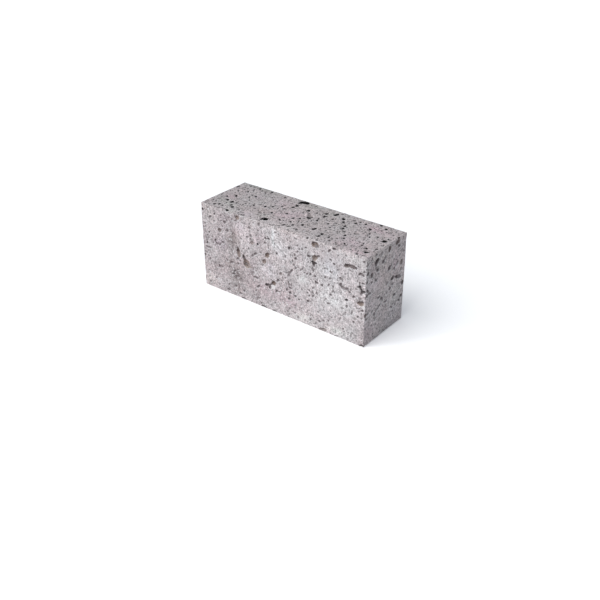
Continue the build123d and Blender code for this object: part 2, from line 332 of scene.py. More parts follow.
    Hollow(185.8, 85.8, 2.7, 2.2, 0.9, 30, dirt_and_shade=0.9),
    Hollow(35.5, 86.6, 3.4, 2.2, 0.9, 40),
    Hollow(57.2, 87.8, 3.0, 2.2, 0.9, 35),
    Hollow(51.6, 92.6, 3.4, 2.3, 0.9, 10),
    Hollow(34.5, 93.3, 4.8, 2.2, 0.9, 10, dirt_and_shade=0.95),
    Hollow(21.1, 91.8, 2.9, 2.1, 0.8, 45, dirt_and_shade=0.7),
    Hollow(8.1, 92.3, 2.6, 2.1, 0.8, 45, dirt_and_shade=0.7),
    Hollow(17.4, 84.3, 4.4, 1.8, 0.7, 30, dirt_and_shade=0.7),
    Hollow(76.3, 89.8, 6.4, 3.6, 0.7, 50, dirt_and_shade=0.6),
    Hollow(80.8, 93.8, 3.0, 1.8, 0.8, 20, dirt_and_shade=1.0),
    Hollow(84.3, 97.4, 8.0, 2.6, 1.0, 3, dirt_and_shade=1.3),
    Hollow(56.4, 97.5, 6.4, 2.3, 0.9, 0, dirt_and_shade=1.2),
    Hollow(98.8, 97.3, 5.8, 2.4, 0.9, 4, dirt_and_shade=1.3),
    Hollow(160.9, 96.2, 10.0, 4.6, 1.1, 15, dirt_and_shade=0.7),
    Hollow(177.8, 98.0, 6.0, 1.8, 0.9, 0, dirt_and_shade=0.9),
    Hollow(207.5, 97.2, 5.2, 3.4, 1.4, 20, dirt_and_shade=1.2),
    Hollow(80.3, 2.9, 3.8, 2.2, 0.8, 10, dirt_and_shade=0.9),
    Hollow(92.2, 24.8, 5.0, 1.4, 0.6, 85, dirt_and_shade=0.6),
    Hollow(126.4, 37.4, 3.0, 1.5, 0.7, 15, dirt_and_shade=0.9),
    Hollow(114.9, 46.4, 2.8, 1.9, 0.8, 20, dirt_and_shade=0.8),
    Hollow(117.9, 48.4, 5.0, 2.2, 0.7, 70, dirt_and_shade=0.6),
    Hollow(141.6, 60.0, 2.6, 1.6, 0.8, 70, dirt_and_shade=1.0),
    Hollow(143.6, 62.6, 3.2, 1.6, 0.8, 70, dirt_and_shade=1.0),
    Hollow(125.4, 89.6, 3.2, 2.0, 0.7, 40, dirt_and_shade=0.7),
    Hollow(183.4, 32.4, 2.4, 1.6, 0.7, -40, dirt_and_shade=0.8),
    Hollow(173.6, 47.4, 4.6, 1.5, 0.7, -45, dirt_and_shade=0.8),
    Hollow(171.4, 48.8, 3.8, 1.4, 0.6, 60, dirt_and_shade=0.6),
    Hollow(172.4, 43.4, 3.2, 1.5, 0.6, 60, dirt_and_shade=0.8),
    Hollow(167.0, 42.2, 3.6, 1.7, 0.9, 50, dirt_and_shade=1.1),
    Hollow(162.8, 35.8, 3.0, 1.9, 0.8, 50, dirt_and_shade=0.9),
    Hollow(168.9, 34.8, 3.6, 1.8, 0.7, 35, dirt_and_shade=0.7),
    Hollow(188.0, 67.2, 3.6, 1.6, 0.8, 60, dirt_and_shade=0.7),
    Hollow(185.6, 69.0, 2.2, 1.5, 0.7, 40, dirt_and_shade=0.8),
    Hollow(202.2, 65.8, 2.6, 1.8, 0.8, 45, dirt_and_shade=0.9),
    Hollow(195.2, 89.6, 7.0, 1.3, 0.6, 88, dirt_and_shade=0.7),
    Hollow(7.6, 35.8, 2.8, 1.9, 0.7, 30, dirt_and_shade=0.7),
    Hollow(2.2, 27.8, 2.2, 2.6, 0.8, 0, dirt_and_shade=0.7),
    Hollow(4.6, 22.8, 2.8, 1.8, 0.7, 20, dirt_and_shade=0.7),
    Hollow(9.8, 50.4, 2.4, 2.0, 0.9, 40),
)
TOP_HOLLOWS = (
    Hollow(80.0, 61.0, 8.2, 7.2, 3.5, 5, bow=-1.5, dirt_and_shade=2.0),
    Hollow(78.6, 63.0, 5.0, 3.6, 2.8, 70, dirt_and_shade=2.0),
    Hollow(87.4, 4.7, 12.2, 7.2, 3.6, 20, bow=-1.6, dirt_and_shade=2.0),
    Hollow(84.6, 6.9, 6.4, 5.2, 3.2, 40, dirt_and_shade=2.0),
    Hollow(91.4, 4.8, 4.6, 3.0, 2.2, -70, dirt_and_shade=1.6),
    Hollow(84.9, 21.0, 4.8, 3.4, 1.9, 80, dirt_and_shade=1.5),
    Hollow(86.4, 15.6, 6.0, 3.4, 1.9, -70, dirt_and_shade=1.5),
    Hollow(111.0, 27.4, 11.6, 5.0, 1.4, -50, taper=0.3, dirt_and_shade=0.42),
    Hollow(113.6, 31.2, 6.8, 4.8, 2.4, -40, dirt_and_shade=2.0),
    Hollow(115.4, 29.2, 4.2, 2.8, 1.6, -60, dirt_and_shade=1.3),
    Hollow(131.2, 8.6, 7.4, 5.0, 2.8, 80, dirt_and_shade=2.0),
    Hollow(122.2, 12.7, 5.6, 3.8, 2.0, -80),
    Hollow(124.8, 19.6, 5.8, 4.0, 2.1, 85, dirt_and_shade=1.2),
    Hollow(143.5, 12.9, 5.6, 3.8, 2.2, -60, dirt_and_shade=1.5),
    Hollow(146.9, 18.4, 5.2, 3.4, 1.9, -75, dirt_and_shade=1.5),
    Hollow(102.8, 17.6, 5.8, 4.0, 2.2, -75, dirt_and_shade=1.8),
    Hollow(113.4, 17.2, 5.2, 2.6, 1.2, -70, dirt_and_shade=0.7),
    Hollow(133.7, 49.0, 6.6, 4.0, 2.2, 85, dirt_and_shade=1.2),
    Hollow(202.8, 30.2, 5.8, 6.8, 3.0, 0, dirt_and_shade=2.0),
    Hollow(25.3, 49.0, 5.8, 4.2, 2.3, -65, dirt_and_shade=1.4),
    Hollow(18.2, 47.8, 5.4, 3.4, 2.0, -60, dirt_and_shade=1.6),
    Hollow(34.4, 58.5, 5.0, 4.0, 2.2, -40, dirt_and_shade=1.4),
    Hollow(35.2, 67.5, 5.4, 3.6, 2.1, -20, dirt_and_shade=1.8),
    Hollow(18.3, 34.1, 6.6, 2.8, 1.7, -52, dirt_and_shade=1.3),
    Hollow(30.3, 55.6, 4.2, 3.0, 1.4, -60),
    Hollow(14.4, 64.2, 4.6, 3.0, 1.4, -65),
    Hollow(18.3, 61.2, 4.2, 3.0, 1.4, -60),
    Hollow(23.7, 61.9, 5.0, 2.4, 1.3, -60),
    Hollow(31.3, 48.2, 4.6, 2.6, 1.4, -55),
    Hollow(11.4, 41.2, 4.6, 2.8, 1.5, -55, dirt_and_shade=1.2),
    Hollow(49.0, 41.6, 5.0, 2.9, 1.6, -55, dirt_and_shade=1.2),
    Hollow(60.9, 37.0, 4.6, 3.4, 1.8, -60, dirt_and_shade=1.4),
    Hollow(67.3, 32.4, 4.8, 3.6, 1.9, -50, dirt_and_shade=1.6),
    Hollow(74.8, 26.2, 4.2, 2.4, 1.2, -60),
    Hollow(36.2, 23.2, 5.4, 2.9, 1.6, -60, dirt_and_shade=1.5),
    Hollow(31.7, 28.4, 5.0, 2.0, 1.1, -58, dirt_and_shade=1.1),
    Hollow(76.3, 45.0, 6.2, 2.4, 1.3, -60, dirt_and_shade=1.2),
    Hollow(80.1, 29.6, 5.0, 2.2, 1.2, 85),
    Hollow(93.7, 53.5, 4.6, 3.2, 1.8, -50, dirt_and_shade=1.2),
    Hollow(93.3, 47.0, 3.4, 2.5, 1.3, 0),
    Hollow(89.7, 37.2, 3.6, 2.4, 1.2, -50),
    Hollow(101.7, 42.0, 5.2, 2.7, 1.4, 80),
    Hollow(107.0, 38.7, 4.4, 2.9, 1.7, -55, dirt_and_shade=1.5),
    Hollow(110.4, 43.9, 5.0, 2.2, 1.1, -60, dirt_and_shade=0.8),
    Hollow(105.3, 50.5, 4.4, 2.8, 1.3, -45),
    Hollow(111.2, 54.9, 4.6, 3.2, 1.6, -60),
    Hollow(110.2, 59.9, 5.2, 4.0, 1.2, 20, dirt_and_shade=0.7),
    Hollow(103.9, 60.6, 5.8, 3.2, 1.1, 85, dirt_and_shade=0.8),
    Hollow(101.7, 64.7, 3.0, 2.5, 1.3, 0, dirt_and_shade=1.2),
    Hollow(121.0, 61.2, 4.2, 3.4, 1.0, 0, dirt_and_shade=0.7),
    Hollow(119.0, 49.0, 5.2, 3.0, 1.6, -65, dirt_and_shade=1.2),
    Hollow(124.0, 51.5, 4.0, 2.6, 0.9, -50, dirt_and_shade=0.6),
    Hollow(117.8, 40.0, 3.4, 2.4, 1.1, -50, dirt_and_shade=0.8),
    Hollow(122.4, 26.9, 4.8, 2.3, 1.2, -75),
    Hollow(124.0, 31.6, 4.8, 2.8, 1.5, -75, dirt_and_shade=1.2),
    Hollow(137.1, 31.2, 4.0, 2.6, 1.2, -50),
    Hollow(143.7, 37.0, 3.8, 2.5, 1.2, -60),
    Hollow(153.7, 25.6, 4.8, 3.2, 1.8, -65, dirt_and_shade=1.3),
    Hollow(155.5, 31.4, 5.0, 3.4, 2.0, -75, dirt_and_shade=1.5),
    Hollow(155.3, 40.5, 3.4, 2.4, 1.1, -45),
    Hollow(160.9, 36.4, 4.2, 2.3, 1.1, -55, dirt_and_shade=0.75),
    Hollow(165.8, 43.0, 5.0, 3.2, 1.7, -80, dirt_and_shade=1.2),
    Hollow(168.6, 48.6, 4.2, 2.5, 1.2, -60),
    Hollow(164.3, 53.2, 3.4, 2.5, 1.2, 0),
    Hollow(156.1, 55.9, 5.0, 2.7, 1.3, -80),
    Hollow(146.7, 53.8, 5.0, 3.8, 2.0, -60, dirt_and_shade=1.4),
    Hollow(146.7, 59.5, 5.2, 3.2, 1.7, 85, dirt_and_shade=1.1),
    Hollow(145.3, 45.6, 3.8, 2.2, 1.0, -60, dirt_and_shade=0.8),
    Hollow(160.8, 61.2, 4.2, 2.4, 1.1, -50, dirt_and_shade=0.78),
    Hollow(176.2, 57.6, 4.0, 2.8, 1.4, -45),
    Hollow(190.0, 46.6, 4.0, 1.9, 1.2, -80, dirt_and_shade=0.85),
    Hollow(190.8, 50.5, 4.2, 2.8, 1.6, -65, dirt_and_shade=1.1),
    Hollow(197.9, 53.2, 4.4, 3.0, 1.6, -50, dirt_and_shade=1.2),
    Hollow(202.3, 60.2, 5.0, 4.0, 2.0, 40, dirt_and_shade=1.4),
    Hollow(206.5, 49.2, 4.6, 3.0, 1.3, -65, dirt_and_shade=0.7),
    Hollow(197.1, 67.8, 4.0, 2.8, 1.4, -40, dirt_and_shade=1.3),
    Hollow(177.8, 17.2, 5.4, 3.2, 1.8, -70, dirt_and_shade=1.4),
    Hollow(182.8, 25.4, 5.2, 2.3, 1.2, -70),
    Hollow(186.8, 31.2, 5.2, 2.3, 1.2, -60),
    Hollow(193.2, 26.6, 4.6, 2.8, 1.4, -55, dirt_and_shade=0.9),
    Hollow(190.0, 7.2, 5.0, 3.2, 1.8, -60, dirt_and_shade=1.4),
    Hollow(181.6, 2.5, 4.4, 3.2, 1.7, -30, dirt_and_shade=1.3),
    Hollow(198.6, 10.6, 4.2, 2.2, 0.9, -60, dirt_and_shade=0.5),
    Hollow(203.7, 24.4, 4.2, 2.5, 1.1, -70),
    Hollow(158.5, 13.2, 4.8, 3.6, 1.6, -60),
    Hollow(168.0, 9.1, 4.2, 2.8, 1.4, -60, dirt_and_shade=1.2),
    Hollow(161.3, 8.8, 4.4, 2.3, 1.1, -50),
    Hollow(135.4, 20.2, 3.6, 2.8, 0.9, 0, dirt_and_shade=0.6),
    Hollow(135.7, 4.2, 3.0, 2.6, 1.0, 0, dirt_and_shade=0.7),
    Hollow(172.9, 33.0, 6.8, 5.4, 0.8, -20, dirt_and_shade=0.42),
    Hollow(66.0, 51.8, 5.2, 4.6, 0.8, -20, dirt_and_shade=0.5),
    Hollow(42.8, 3.8, 4.6, 3.2, 1.3, -55, dirt_and_shade=1.1),
    Hollow(26.5, 4.2, 5.0, 3.0, 1.1, -60, dirt_and_shade=0.85),
    Hollow(13.6, 4.8, 4.6, 2.6, 1.0, -55, dirt_and_shade=0.7),
    Hollow(2.8, 13.8, 3.0, 3.6, 1.0, 0),
    Hollow(20.9, 18.2, 7.0, 2.2, 1.0, -55, dirt_and_shade=0.8),
    Hollow(52.2, 15.2, 5.8, 2.0, 0.9, -60, dirt_and_shade=0.8),
    Hollow(10.4, 22.2, 6.6, 2.2, 0.9, -40, dirt_and_shade=0.7),
    Hollow(102.2, 25.2, 5.0, 2.8, 0.9, -60, dirt_and_shade=0.55),
    Hollow(44.7, 60.0, 3.6, 2.6, 1.1, -50, dirt_and_shade=0.75),
    Hollow(57.5, 66.9, 4.8, 2.8, 1.0, -60, dirt_and_shade=0.6),
    Hollow(54.8, 67.6, 3.6, 2.2, 0.9, -60, dirt_and_shade=0.8),
    Hollow(49.2, 66.0, 4.0, 1.9, 0.9, -60, dirt_and_shade=0.65),
    Hollow(97.8, 52.6, 3.0, 2.1, 1.0, -45, dirt_and_shade=0.8),
    Hollow(30.6, 22.6, 4.6, 2.2, 1.0, -55, dirt_and_shade=0.8),
    Hollow(23.8, 12.0, 8.6, 1.8, 0.9, -52, dirt_and_shade=0.75),
    Hollow(31.6, 7.4, 4.8, 2.3, 1.0, -55, dirt_and_shade=0.75),
    Hollow(39.0, 10.4, 5.8, 2.2, 0.9, -55, dirt_and_shade=0.65),
    Hollow(5.8, 56.6, 4.2, 2.4, 1.0, -55, dirt_and_shade=0.75),
    Hollow(10.6, 57.2, 4.2, 2.4, 1.0, -50, dirt_and_shade=0.85),
    Hollow(39.2, 47.0, 4.6, 1.8, 0.9, -55, dirt_and_shade=0.8),
    Hollow(39.4, 57.0, 3.0, 1.8, 0.9, -50, dirt_and_shade=0.75),
    Hollow(53.4, 36.6, 4.0, 2.6, 0.9, -70, dirt_and_shade=0.65),
    Hollow(54.4, 31.0, 3.8, 1.8, 0.8, -55, dirt_and_shade=0.7),
    Hollow(74.7, 32.9, 3.6, 2.4, 1.1, -50, dirt_and_shade=1.1),
    Hollow(82.6, 37.8, 4.2, 2.0, 1.0, -60, dirt_and_shade=0.8),
    Hollow(65.8, 37.2, 4.0, 1.7, 0.8, -58, dirt_and_shade=0.7),
    Hollow(131.7, 57.8, 3.8, 3.4, 0.8, 0, dirt_and_shade=0.45),
    Hollow(157.0, 26.8, 3.4, 1.7, 0.9, -60, dirt_and_shade=0.9),
    Hollow(143.5, 25.8, 3.6, 1.9, 0.9, -60, dirt_and_shade=0.8),
    Hollow(148.4, 35.2, 4.0, 1.8, 0.8, -60, dirt_and_shade=0.6),
    Hollow(185.4, 19.4, 4.4, 1.9, 0.9, -60, dirt_and_shade=0.8),
    Hollow(203.0, 13.9, 3.8, 2.3, 1.0, -60, dirt_and_shade=0.85),
    Hollow(187.6, 64.2, 4.2, 1.9, 0.9, -45, dirt_and_shade=0.75),
    Hollow(179.2, 60.6, 3.0, 1.7, 0.8, -50, dirt_and_shade=0.6),
    Hollow(140.2, 68.9, 3.6, 2.4, 1.2, -40, dirt_and_shade=1.1),
    Hollow(209.4, 14.6, 2.6, 4.6, 1.2, 0, dirt_and_shade=1.1),
)
RIGHT_END_HOLLOWS = (
    Hollow(17.3, 10.0, 7.6, 4.4, 2.3, 12, dirt_and_shade=1.45),
    Hollow(16.5, 12.7, 5.4, 3.8, 2.0, 75, taper=0.3, dirt_and_shade=1.2),
    Hollow(19.5, 20.7, 5.0, 2.6, 1.6, -22, dirt_and_shade=1.2),
    Hollow(16.4, 17.8, 3.8, 2.4, 0.9, -60, dirt_and_shade=0.8),
    Hollow(10.1, 22.0, 5.6, 4.8, 1.9, 80, dirt_and_shade=0.75),
    Hollow(10.5, 21.8, 4.4, 3.6, 2.0, 75, dirt_and_shade=1.4),
    Hollow(29.3, 15.0, 4.4, 3.4, 1.6, 45),
    Hollow(31.6, 12.8, 3.6, 2.4, 1.0, 40, dirt_and_shade=0.85),
    Hollow(39.1, 6.1, 6.2, 4.8, 2.0, 85, dirt_and_shade=1.2),
    Hollow(40.3, 27.1, 5.6, 4.4, 1.8, 60, dirt_and_shade=0.88),
    Hollow(43.5, 25.1, 4.0, 2.2, 1.2, 35, dirt_and_shade=0.8),
    Hollow(53.5, 4.6, 7.6, 4.8, 1.9, 4, dirt_and_shade=1.1),
    Hollow(62.8, 29.6, 6.2, 4.8, 1.9, -85, dirt_and_shade=0.85),
    Hollow(57.6, 43.6, 12.5, 3.0, 1.7, -22, taper=0.3, dirt_and_shade=0.85),
    Hollow(55.8, 42.6, 8.0, 2.2, 1.5, -22, dirt_and_shade=1.45),
    Hollow(47.3, 41.0, 6.0, 4.0, 1.7, 10, dirt_and_shade=1.2),
    Hollow(2.6, 17.8, 4.6, 3.6, 1.5, 0, dirt_and_shade=1.25),
    Hollow(67.3, 54.5, 4.8, 4.0, 1.7, -35, dirt_and_shade=1.4),
    Hollow(28.3, 55.5, 5.6, 3.0, 1.3, -12, dirt_and_shade=1.05),
    Hollow(30.4, 58.2, 2.8, 1.8, 0.8, -60, dirt_and_shade=0.7),
    Hollow(65.7, 69.1, 5.0, 3.0, 1.4, -5, dirt_and_shade=1.35),
    Hollow(52.7, 61.9, 4.8, 2.6, 1.2, -25, dirt_and_shade=1.1),
    Hollow(62.5, 72.6, 4.6, 2.0, 1.1, -30, dirt_and_shade=1.4),
    Hollow(1.7, 61.9, 3.6, 4.6, 1.4, 0, dirt_and_shade=1.35),
    Hollow(49.2, 30.7, 3.8, 2.8, 1.1, -55, dirt_and_shade=0.95),
    Hollow(16.9, 30.3, 3.4, 2.2, 1.3, -55, dirt_and_shade=1.3),
    Hollow(3.3, 36.3, 4.8, 2.6, 1.1, -45),
    Hollow(7.0, 40.6, 4.8, 2.0, 0.9, -20, dirt_and_shade=0.75),
    Hollow(2.9, 41.3, 3.8, 2.6, 1.0, 0, dirt_and_shade=0.9),
    Hollow(38.9, 43.1, 4.0, 3.0, 0.9, 0, dirt_and_shade=0.7),
    Hollow(43.9, 51.1, 4.2, 2.5, 1.2, -35, dirt_and_shade=1.1),
    Hollow(48.3, 48.3, 3.8, 2.4, 0.9, -30, dirt_and_shade=0.8),
    Hollow(17.5, 67.9, 4.6, 2.8, 1.0, -45, dirt_and_shade=0.9),
    Hollow(21.2, 65.2, 3.8, 1.7, 0.8, 35, dirt_and_shade=0.85),
    Hollow(13.1, 63.3, 4.2, 2.8, 0.9, 15, dirt_and_shade=0.75),
    Hollow(25.1, 62.3, 5.4, 2.2, 0.9, 30, dirt_and_shade=0.9),
    Hollow(36.3, 62.4, 6.4, 1.9, 0.9, -14, dirt_and_shade=0.9),
    Hollow(55.5, 74.3, 4.2, 2.2, 0.8, -10, dirt_and_shade=0.7),
    Hollow(25.5, 5.1, 4.8, 3.4, 1.0, -20, dirt_and_shade=0.75),
    Hollow(1.5, 8.3, 2.6, 3.6, 0.9, 0, dirt_and_shade=0.7),
    Hollow(66.6, 18.3, 5.6, 1.7, 0.8, -28, dirt_and_shade=0.65),
    Hollow(15.7, 2.9, 4.6, 2.2, 0.8, -15, dirt_and_shade=0.8),
)

# Stains that show on each face: right, down, length, width, turn, tone, pink, violet
FRONT_STAINS = (
    Stain(45, 55, 130, 140, 0, -0.055, 0.40, -0.15),
    Stain(172, 55, 130, 140, 0, 0.035, -0.30, 0.40),
    Stain(60, 76, 36, 30, 0, -0.06),
    Stain(32, 7, 32, 16, 0, -0.03, 0.25),
    Stain(32, 24, 34, 34, 0, 0.0, 0.25),
    Stain(94, 60, 14, 12, 0, 0.06),
    Stain(132, 20, 22, 20, 0, 0.05, 0.0, 0.25),
    Stain(99, 44, 24, 22, 0, 0.0, -0.45, 0.3),
    Stain(58, 50, 16, 14, 0, 0.0, 0.4, -0.4),
    Stain(135, 94, 42, 14, 0, 0.03, -0.5),
    Stain(198, 6, 26, 14, 0, 0.02, -0.4),
    Stain(186, 86, 28, 22, 0, 0.02, -0.35),
    Stain(172, 20, 26, 20, 0, 0.03, 0.0, 0.5),
    Stain(28, 38, 14, 12, 0, 0.0, 0.0, 0.8),
    Stain(10, 10, 24, 22, 0, 0.0, 0.0, -0.5),
    Stain(190, 30, 22, 18, 0, 0.04, -0.2, 0.2),
    Stain(166, 94, 40, 12, 0, 0.05),
    Stain(42, 32, 28, 16, 80, -0.30, 0.5, -1.0),
    Stain(46, 76, 38, 20, 85, -0.32, 0.6, -1.0),
    Stain(37, 59, 18, 9, 15, -0.18, 0.7, -1.1),
    Stain(34, 14, 24, 18, 90, -0.13, 0.7),
    Stain(50, 5, 16, 10, 0, -0.16, 0.2),
    Stain(59, 26, 28, 13, 88, 0.26, -0.5, 0.5),
    Stain(54, 13, 16, 14, 0, 0.12, 0.2, 0.5),
    Stain(98, 9, 22, 5, 88, 0.14, -0.8, 0.7),
    Stain(101, 16, 36, 14, 90, 0.12, -0.6, 0.4),
    Stain(110, 26, 28, 22, 60, 0.12, -0.2, 0.3),
    Stain(89, 53, 24, 12, 0, 0.15, -0.2, 0.7),
    Stain(94, 46, 12, 8, 0, 0.05, -0.2, 1.0),
    Stain(172, 57, 48, 32, 0, 0.20, -0.5, 0.0),
    Stain(136, 48, 20, 14, 0, 0.16, -0.6, 0.0),
    Stain(136, 91, 24, 12, 0, 0.18, -0.8, 0.0),
    Stain(177, 92, 24, 10, 0, 0.16, -0.9, -0.2),
    Stain(168, 29, 28, 18, 0, 0.13, -0.5, 0.6),
    Stain(186, 5, 28, 8, 0, 0.14, -0.4, 0.2),
    Stain(8, 89, 20, 16, 0, 0.12, -0.4, -0.4),
    Stain(69, 58, 30, 12, 85, -0.14, 0.5),
    Stain(23, 42, 20, 12, 0, -0.11, 0.6, 0.8),
    Stain(76, 88, 16, 14, 0, -0.12, 0.3),
    Stain(118, 63, 18, 10, 90, -0.11, 0.4),
    Stain(121, 80, 22, 22, 0, -0.06, 0.8),
    Stain(92, 75, 52, 22, 0, -0.03, 0.8),
    Stain(206, 42, 34, 9, 90, -0.14, 0.4, -0.3),
    Stain(22, 70, 26, 18, 0, -0.12, 0.8, -0.6),
    Stain(149, 28, 24, 8, 90, -0.12, 0.2, -0.4),
    Stain(79, 18, 22, 12, 90, -0.02, 0.8, 0.1),
    Stain(4, 44, 34, 8, 90, -0.08, 0.2),
    Stain(147.5, 15.2, 6.0, 2.6, 10, 0.45, -0.2, -0.3),
    Stain(72.5, 21.0, 7.0, 2.4, -52, 0.30, 0.3),
    Stain(85.8, 14.0, 16, 1.6, 88, 0.22, 0.2, 0.3),
    Stain(98.0, 15.0, 24, 2.6, 90, 0.22, -0.6, 0.5),
    Stain(103.0, 8.0, 14, 2.4, 90, 0.08, -0.4, 0.4),
    Stain(91.5, 8.0, 14, 2.0, 90, 0.16, -0.2, 0.4),
    Stain(108.0, 17.0, 20, 2.0, 90, 0.12, -0.3, 0.3),
    Stain(65.0, 24.0, 24, 3.2, 90, 0.16, -0.3, 0.6),
    Stain(73.0, 12.0, 14, 2.2, 86, 0.14, 0.0, 0.3),
    Stain(208.0, 53.0, 4.0, 3.6, 0, 0.45),
    Stain(201.2, 28.4, 6.0, 1.8, 84, 0.40),
    Stain(207.6, 31.0, 4.0, 3.0, 0, 0.35),
    Stain(208.4, 40.4, 3.0, 4.0, 0, 0.30),
    Stain(203.4, 55.2, 5.0, 2.4, 30, 0.30),
    Stain(205.6, 43.0, 4.6, 4.0, 90, 0.30, 0.2, -0.2),
    Stain(175.4, 45.2, 3.0, 1.8, 30, 0.35),
    Stain(118, 48.5, 9, 4, 75, -0.10, 0.5, -0.5),
    Stain(207, 90, 18, 7, 90, -0.10, 0.4, -0.3),
    Stain(20.8, 40.2, 3.4, 2.4, 0, 0.25, 0.2, 0.3),
    Stain(120.4, 57.2, 3.0, 3.4, 0, 0.22),
    Stain(20, 3.5, 36, 7, 0, -0.04),
    Stain(34, 1.0, 32, 4, 0, -0.13),
    Stain(45, 29, 22, 9, -48, -0.10, 0.2, -0.6),
    Stain(46, 88, 11, 8, 0, -0.13, 0.3, -0.3),
    Stain(59, 85, 9, 6, 0, -0.13),
    Stain(62, 76, 16, 9, -40, 0.12),
    Stain(38, 47, 8, 7, 0, 0.12, -0.4),
    Stain(38, 7, 6, 6, 0, 0.12),
    Stain(86, 66.5, 5, 4, 0, -0.14),
    Stain(90, 46.8, 8, 4, 0, -0.11, -0.3, 0.6),
    Stain(156, 27, 6, 5, 0, -0.10, 0.0, -0.3),
    Stain(156, 63, 6, 5, 0, -0.10),
    Stain(156, 3, 34, 7, 0, -0.04),
    Stain(190, 2.5, 34, 5, 0, -0.05),
    Stain(209.5, 14, 26, 4, 90, -0.10),
    Stain(203, 38, 24, 9, 90, -0.07),
    Stain(207.5, 60, 24, 6, 90, -0.08),
    Stain(209.5, 84, 24, 4, 90, -0.07),
)
TOP_STAINS = (
    Stain(105, 35, 300, 140, 0, 0.028, 0.12, -0.65),
    Stain(34, 4, 46, 16, 0, -0.07),
    Stain(97, 5, 18, 10, 0, -0.09, -0.2),
    Stain(106, 58, 62, 20, 0, 0.07, 0.1),
    Stain(195, 35, 34, 28, 0, 0.05),
    Stain(28, 60, 24, 14, 0, 0.05),
    Stain(130, 3, 180, 10, 0, 0.0, -0.3),
    Stain(99, 17, 20, 14, 0, 0.0, -0.4),
    Stain(77, 28, 18, 16, 0, 0.0, 0.35),
    Stain(180, 30, 32, 20, 0, 0.0, 0.35),
    Stain(168, 61, 20, 12, 0, 0.0, 0.35),
    Stain(70, 19, 24, 17, 0, 0.04, 0.9, 0.2),
    Stain(97, 38, 34, 22, 60, 0.05, 1.3, 0.4),
    Stain(84, 42, 16, 16, 0, 0.02, 0.7, 0.2),
    Stain(183, 14, 42, 13, -8, 0.02, 1.0, 0.3),
    Stain(180, 51, 34, 22, 0, 0.04, 1.0, 0.3),
    Stain(196, 65, 26, 10, 0, 0.04, 1.3, 0.0),
    Stain(15, 40, 16, 11, 0, 0.0, 0.9, 0.2),
    Stain(40, 23, 14, 11, 0, 0.0, 0.8, 0.1),
    Stain(58, 63, 18, 13, 0, 0.08, 0.6, 0.5),
    Stain(26, 3, 64, 10, 0, -0.07, -1.0, -0.2),
    Stain(104, 6, 44, 10, 0, 0.0, -0.8, -0.2),
    Stain(128, 12, 22, 14, 0, -0.02, -0.9, 0.0),
    Stain(24, 55, 42, 14, -20, -0.03, -0.9, -0.2),
    Stain(40, 67, 12, 8, 0, 0.10, -1.0, -0.2),
    Stain(116, 62, 26, 12, 0, 0.0, -0.8, 0.4),
    Stain(72, 56, 16, 11, 0, -0.02, -0.8, -0.1),
    # Pale bands along the top's front arris: painted highlight
    Stain(105, 64.5, 220, 9, 0, 0.09),
    Stain(88, 66.5, 34, 5, 0, 0.08),
    Stain(207, 32, 26, 5, 90, 0.09),
    Stain(107.2, 28.4, 12.0, 2.4, -52, 0.60),
    Stain(33.6, 27.6, 5.0, 1.4, -52, 0.35),
    Stain(190.4, 42.6, 3.6, 1.8, -45, 0.30),
)
RIGHT_END_STAINS = (
    Stain(35, 49, 150, 200, 0, 0.022, 0.12, -0.15),
    Stain(50, 82, 60, 50, 0, 0.0, -0.25, 0.5),
    Stain(26, 50, 22, 14, 0, 0.0, -0.35),
    Stain(16, 6, 18, 10, 0, 0.0, -0.3, -0.3),
    Stain(53, 7, 18, 10, 0, -0.06),
    Stain(8, 32, 14, 22, 0, 0.03, 0.0, 0.4),
    Stain(31, 18, 30, 26, 90, 0.0, 0.0, -0.6),
    Stain(40, 38, 22, 12, 0, 0.04, 0.0, -0.7),
    Stain(18, 6, 20, 10, 0, 0.0, -0.1, -0.8),
    Stain(52, 28, 22, 11, 90, 0.02, 0.7, 0.7),
    Stain(19, 34, 16, 13, 0, 0.08, 0.0, 0.5),
    Stain(50, 62, 34, 26, 0, 0.08, -0.7, 0.0),
    Stain(10, 55, 20, 26, 90, 0.07, 0.2, 0.2),
    Stain(30, 93, 22, 8, 0, -0.04, -0.6, 0.0),
    Stain(8, 84, 24, 18, 0, 0.0, 0.6, 0.2),
    # Darker towards the bottom edge
    Stain(48, 98, 64, 14, 0, -0.14, -0.2, 0.3),
    Stain(69, 60, 60, 6, 90, -0.10, -0.3, 0.1),
    Stain(12, 14, 24, 12, 30, -0.10, 0.2),
    Stain(12.4, 75.4, 4.0, 3.0, -40, 0.16),
    Stain(11, 3, 18, 8, 0, 0.04),
)
# White gravel showing in the front face: right, down, length, width
WHITE_PEBBLES = (
    Oval(97.0, 69.3, 6.2, 5.4),
    Oval(132.0, 31.6, 4.6, 3.8),
    Oval(115.7, 83.4, 3.0, 2.6),
    Oval(208.0, 53.4, 4.2, 4.2),
    Oval(147.2, 15.4, 4.8, 1.8, turn=10),
)
# Smoother patches of the front face: right, down, length, width
SMOOTH_PATCHES = (
    Oval(168, 13, 36, 30),
    Oval(133, 8, 26, 16),
    Oval(175, 64, 22, 18),
    Oval(128, 92, 40, 14),
    Oval(134, 50, 18, 16),
    Oval(204, 6, 14, 14),
)


class Noise:
    """Smooth noise of seeded random values on a repeating cubic lattice, from about -1 to 1.

    The same points moved by some millimetres give a pattern of their own.
    """

    NODES = 64

    def __init__(self, seed):
        self.values = np.random.default_rng(seed).uniform(-1, 1, (self.NODES,) * 3)

    def at(self, points, period):
        """Blends the eight lattice values round each point by the quintic fade of its place in the cell."""
        cell = points / period
        low = np.floor(cell).astype(int)
        part = cell - low
        fade = part ** 3 * (part * (part * 6 - 15) + 10)
        total = np.zeros(len(points))
        for corner in np.ndindex(2, 2, 2):
            weight = np.prod(np.where(corner, fade, 1 - fade), axis=1)
            total += weight * self.values[tuple(((low + corner) % self.NODES).T)]
        return total


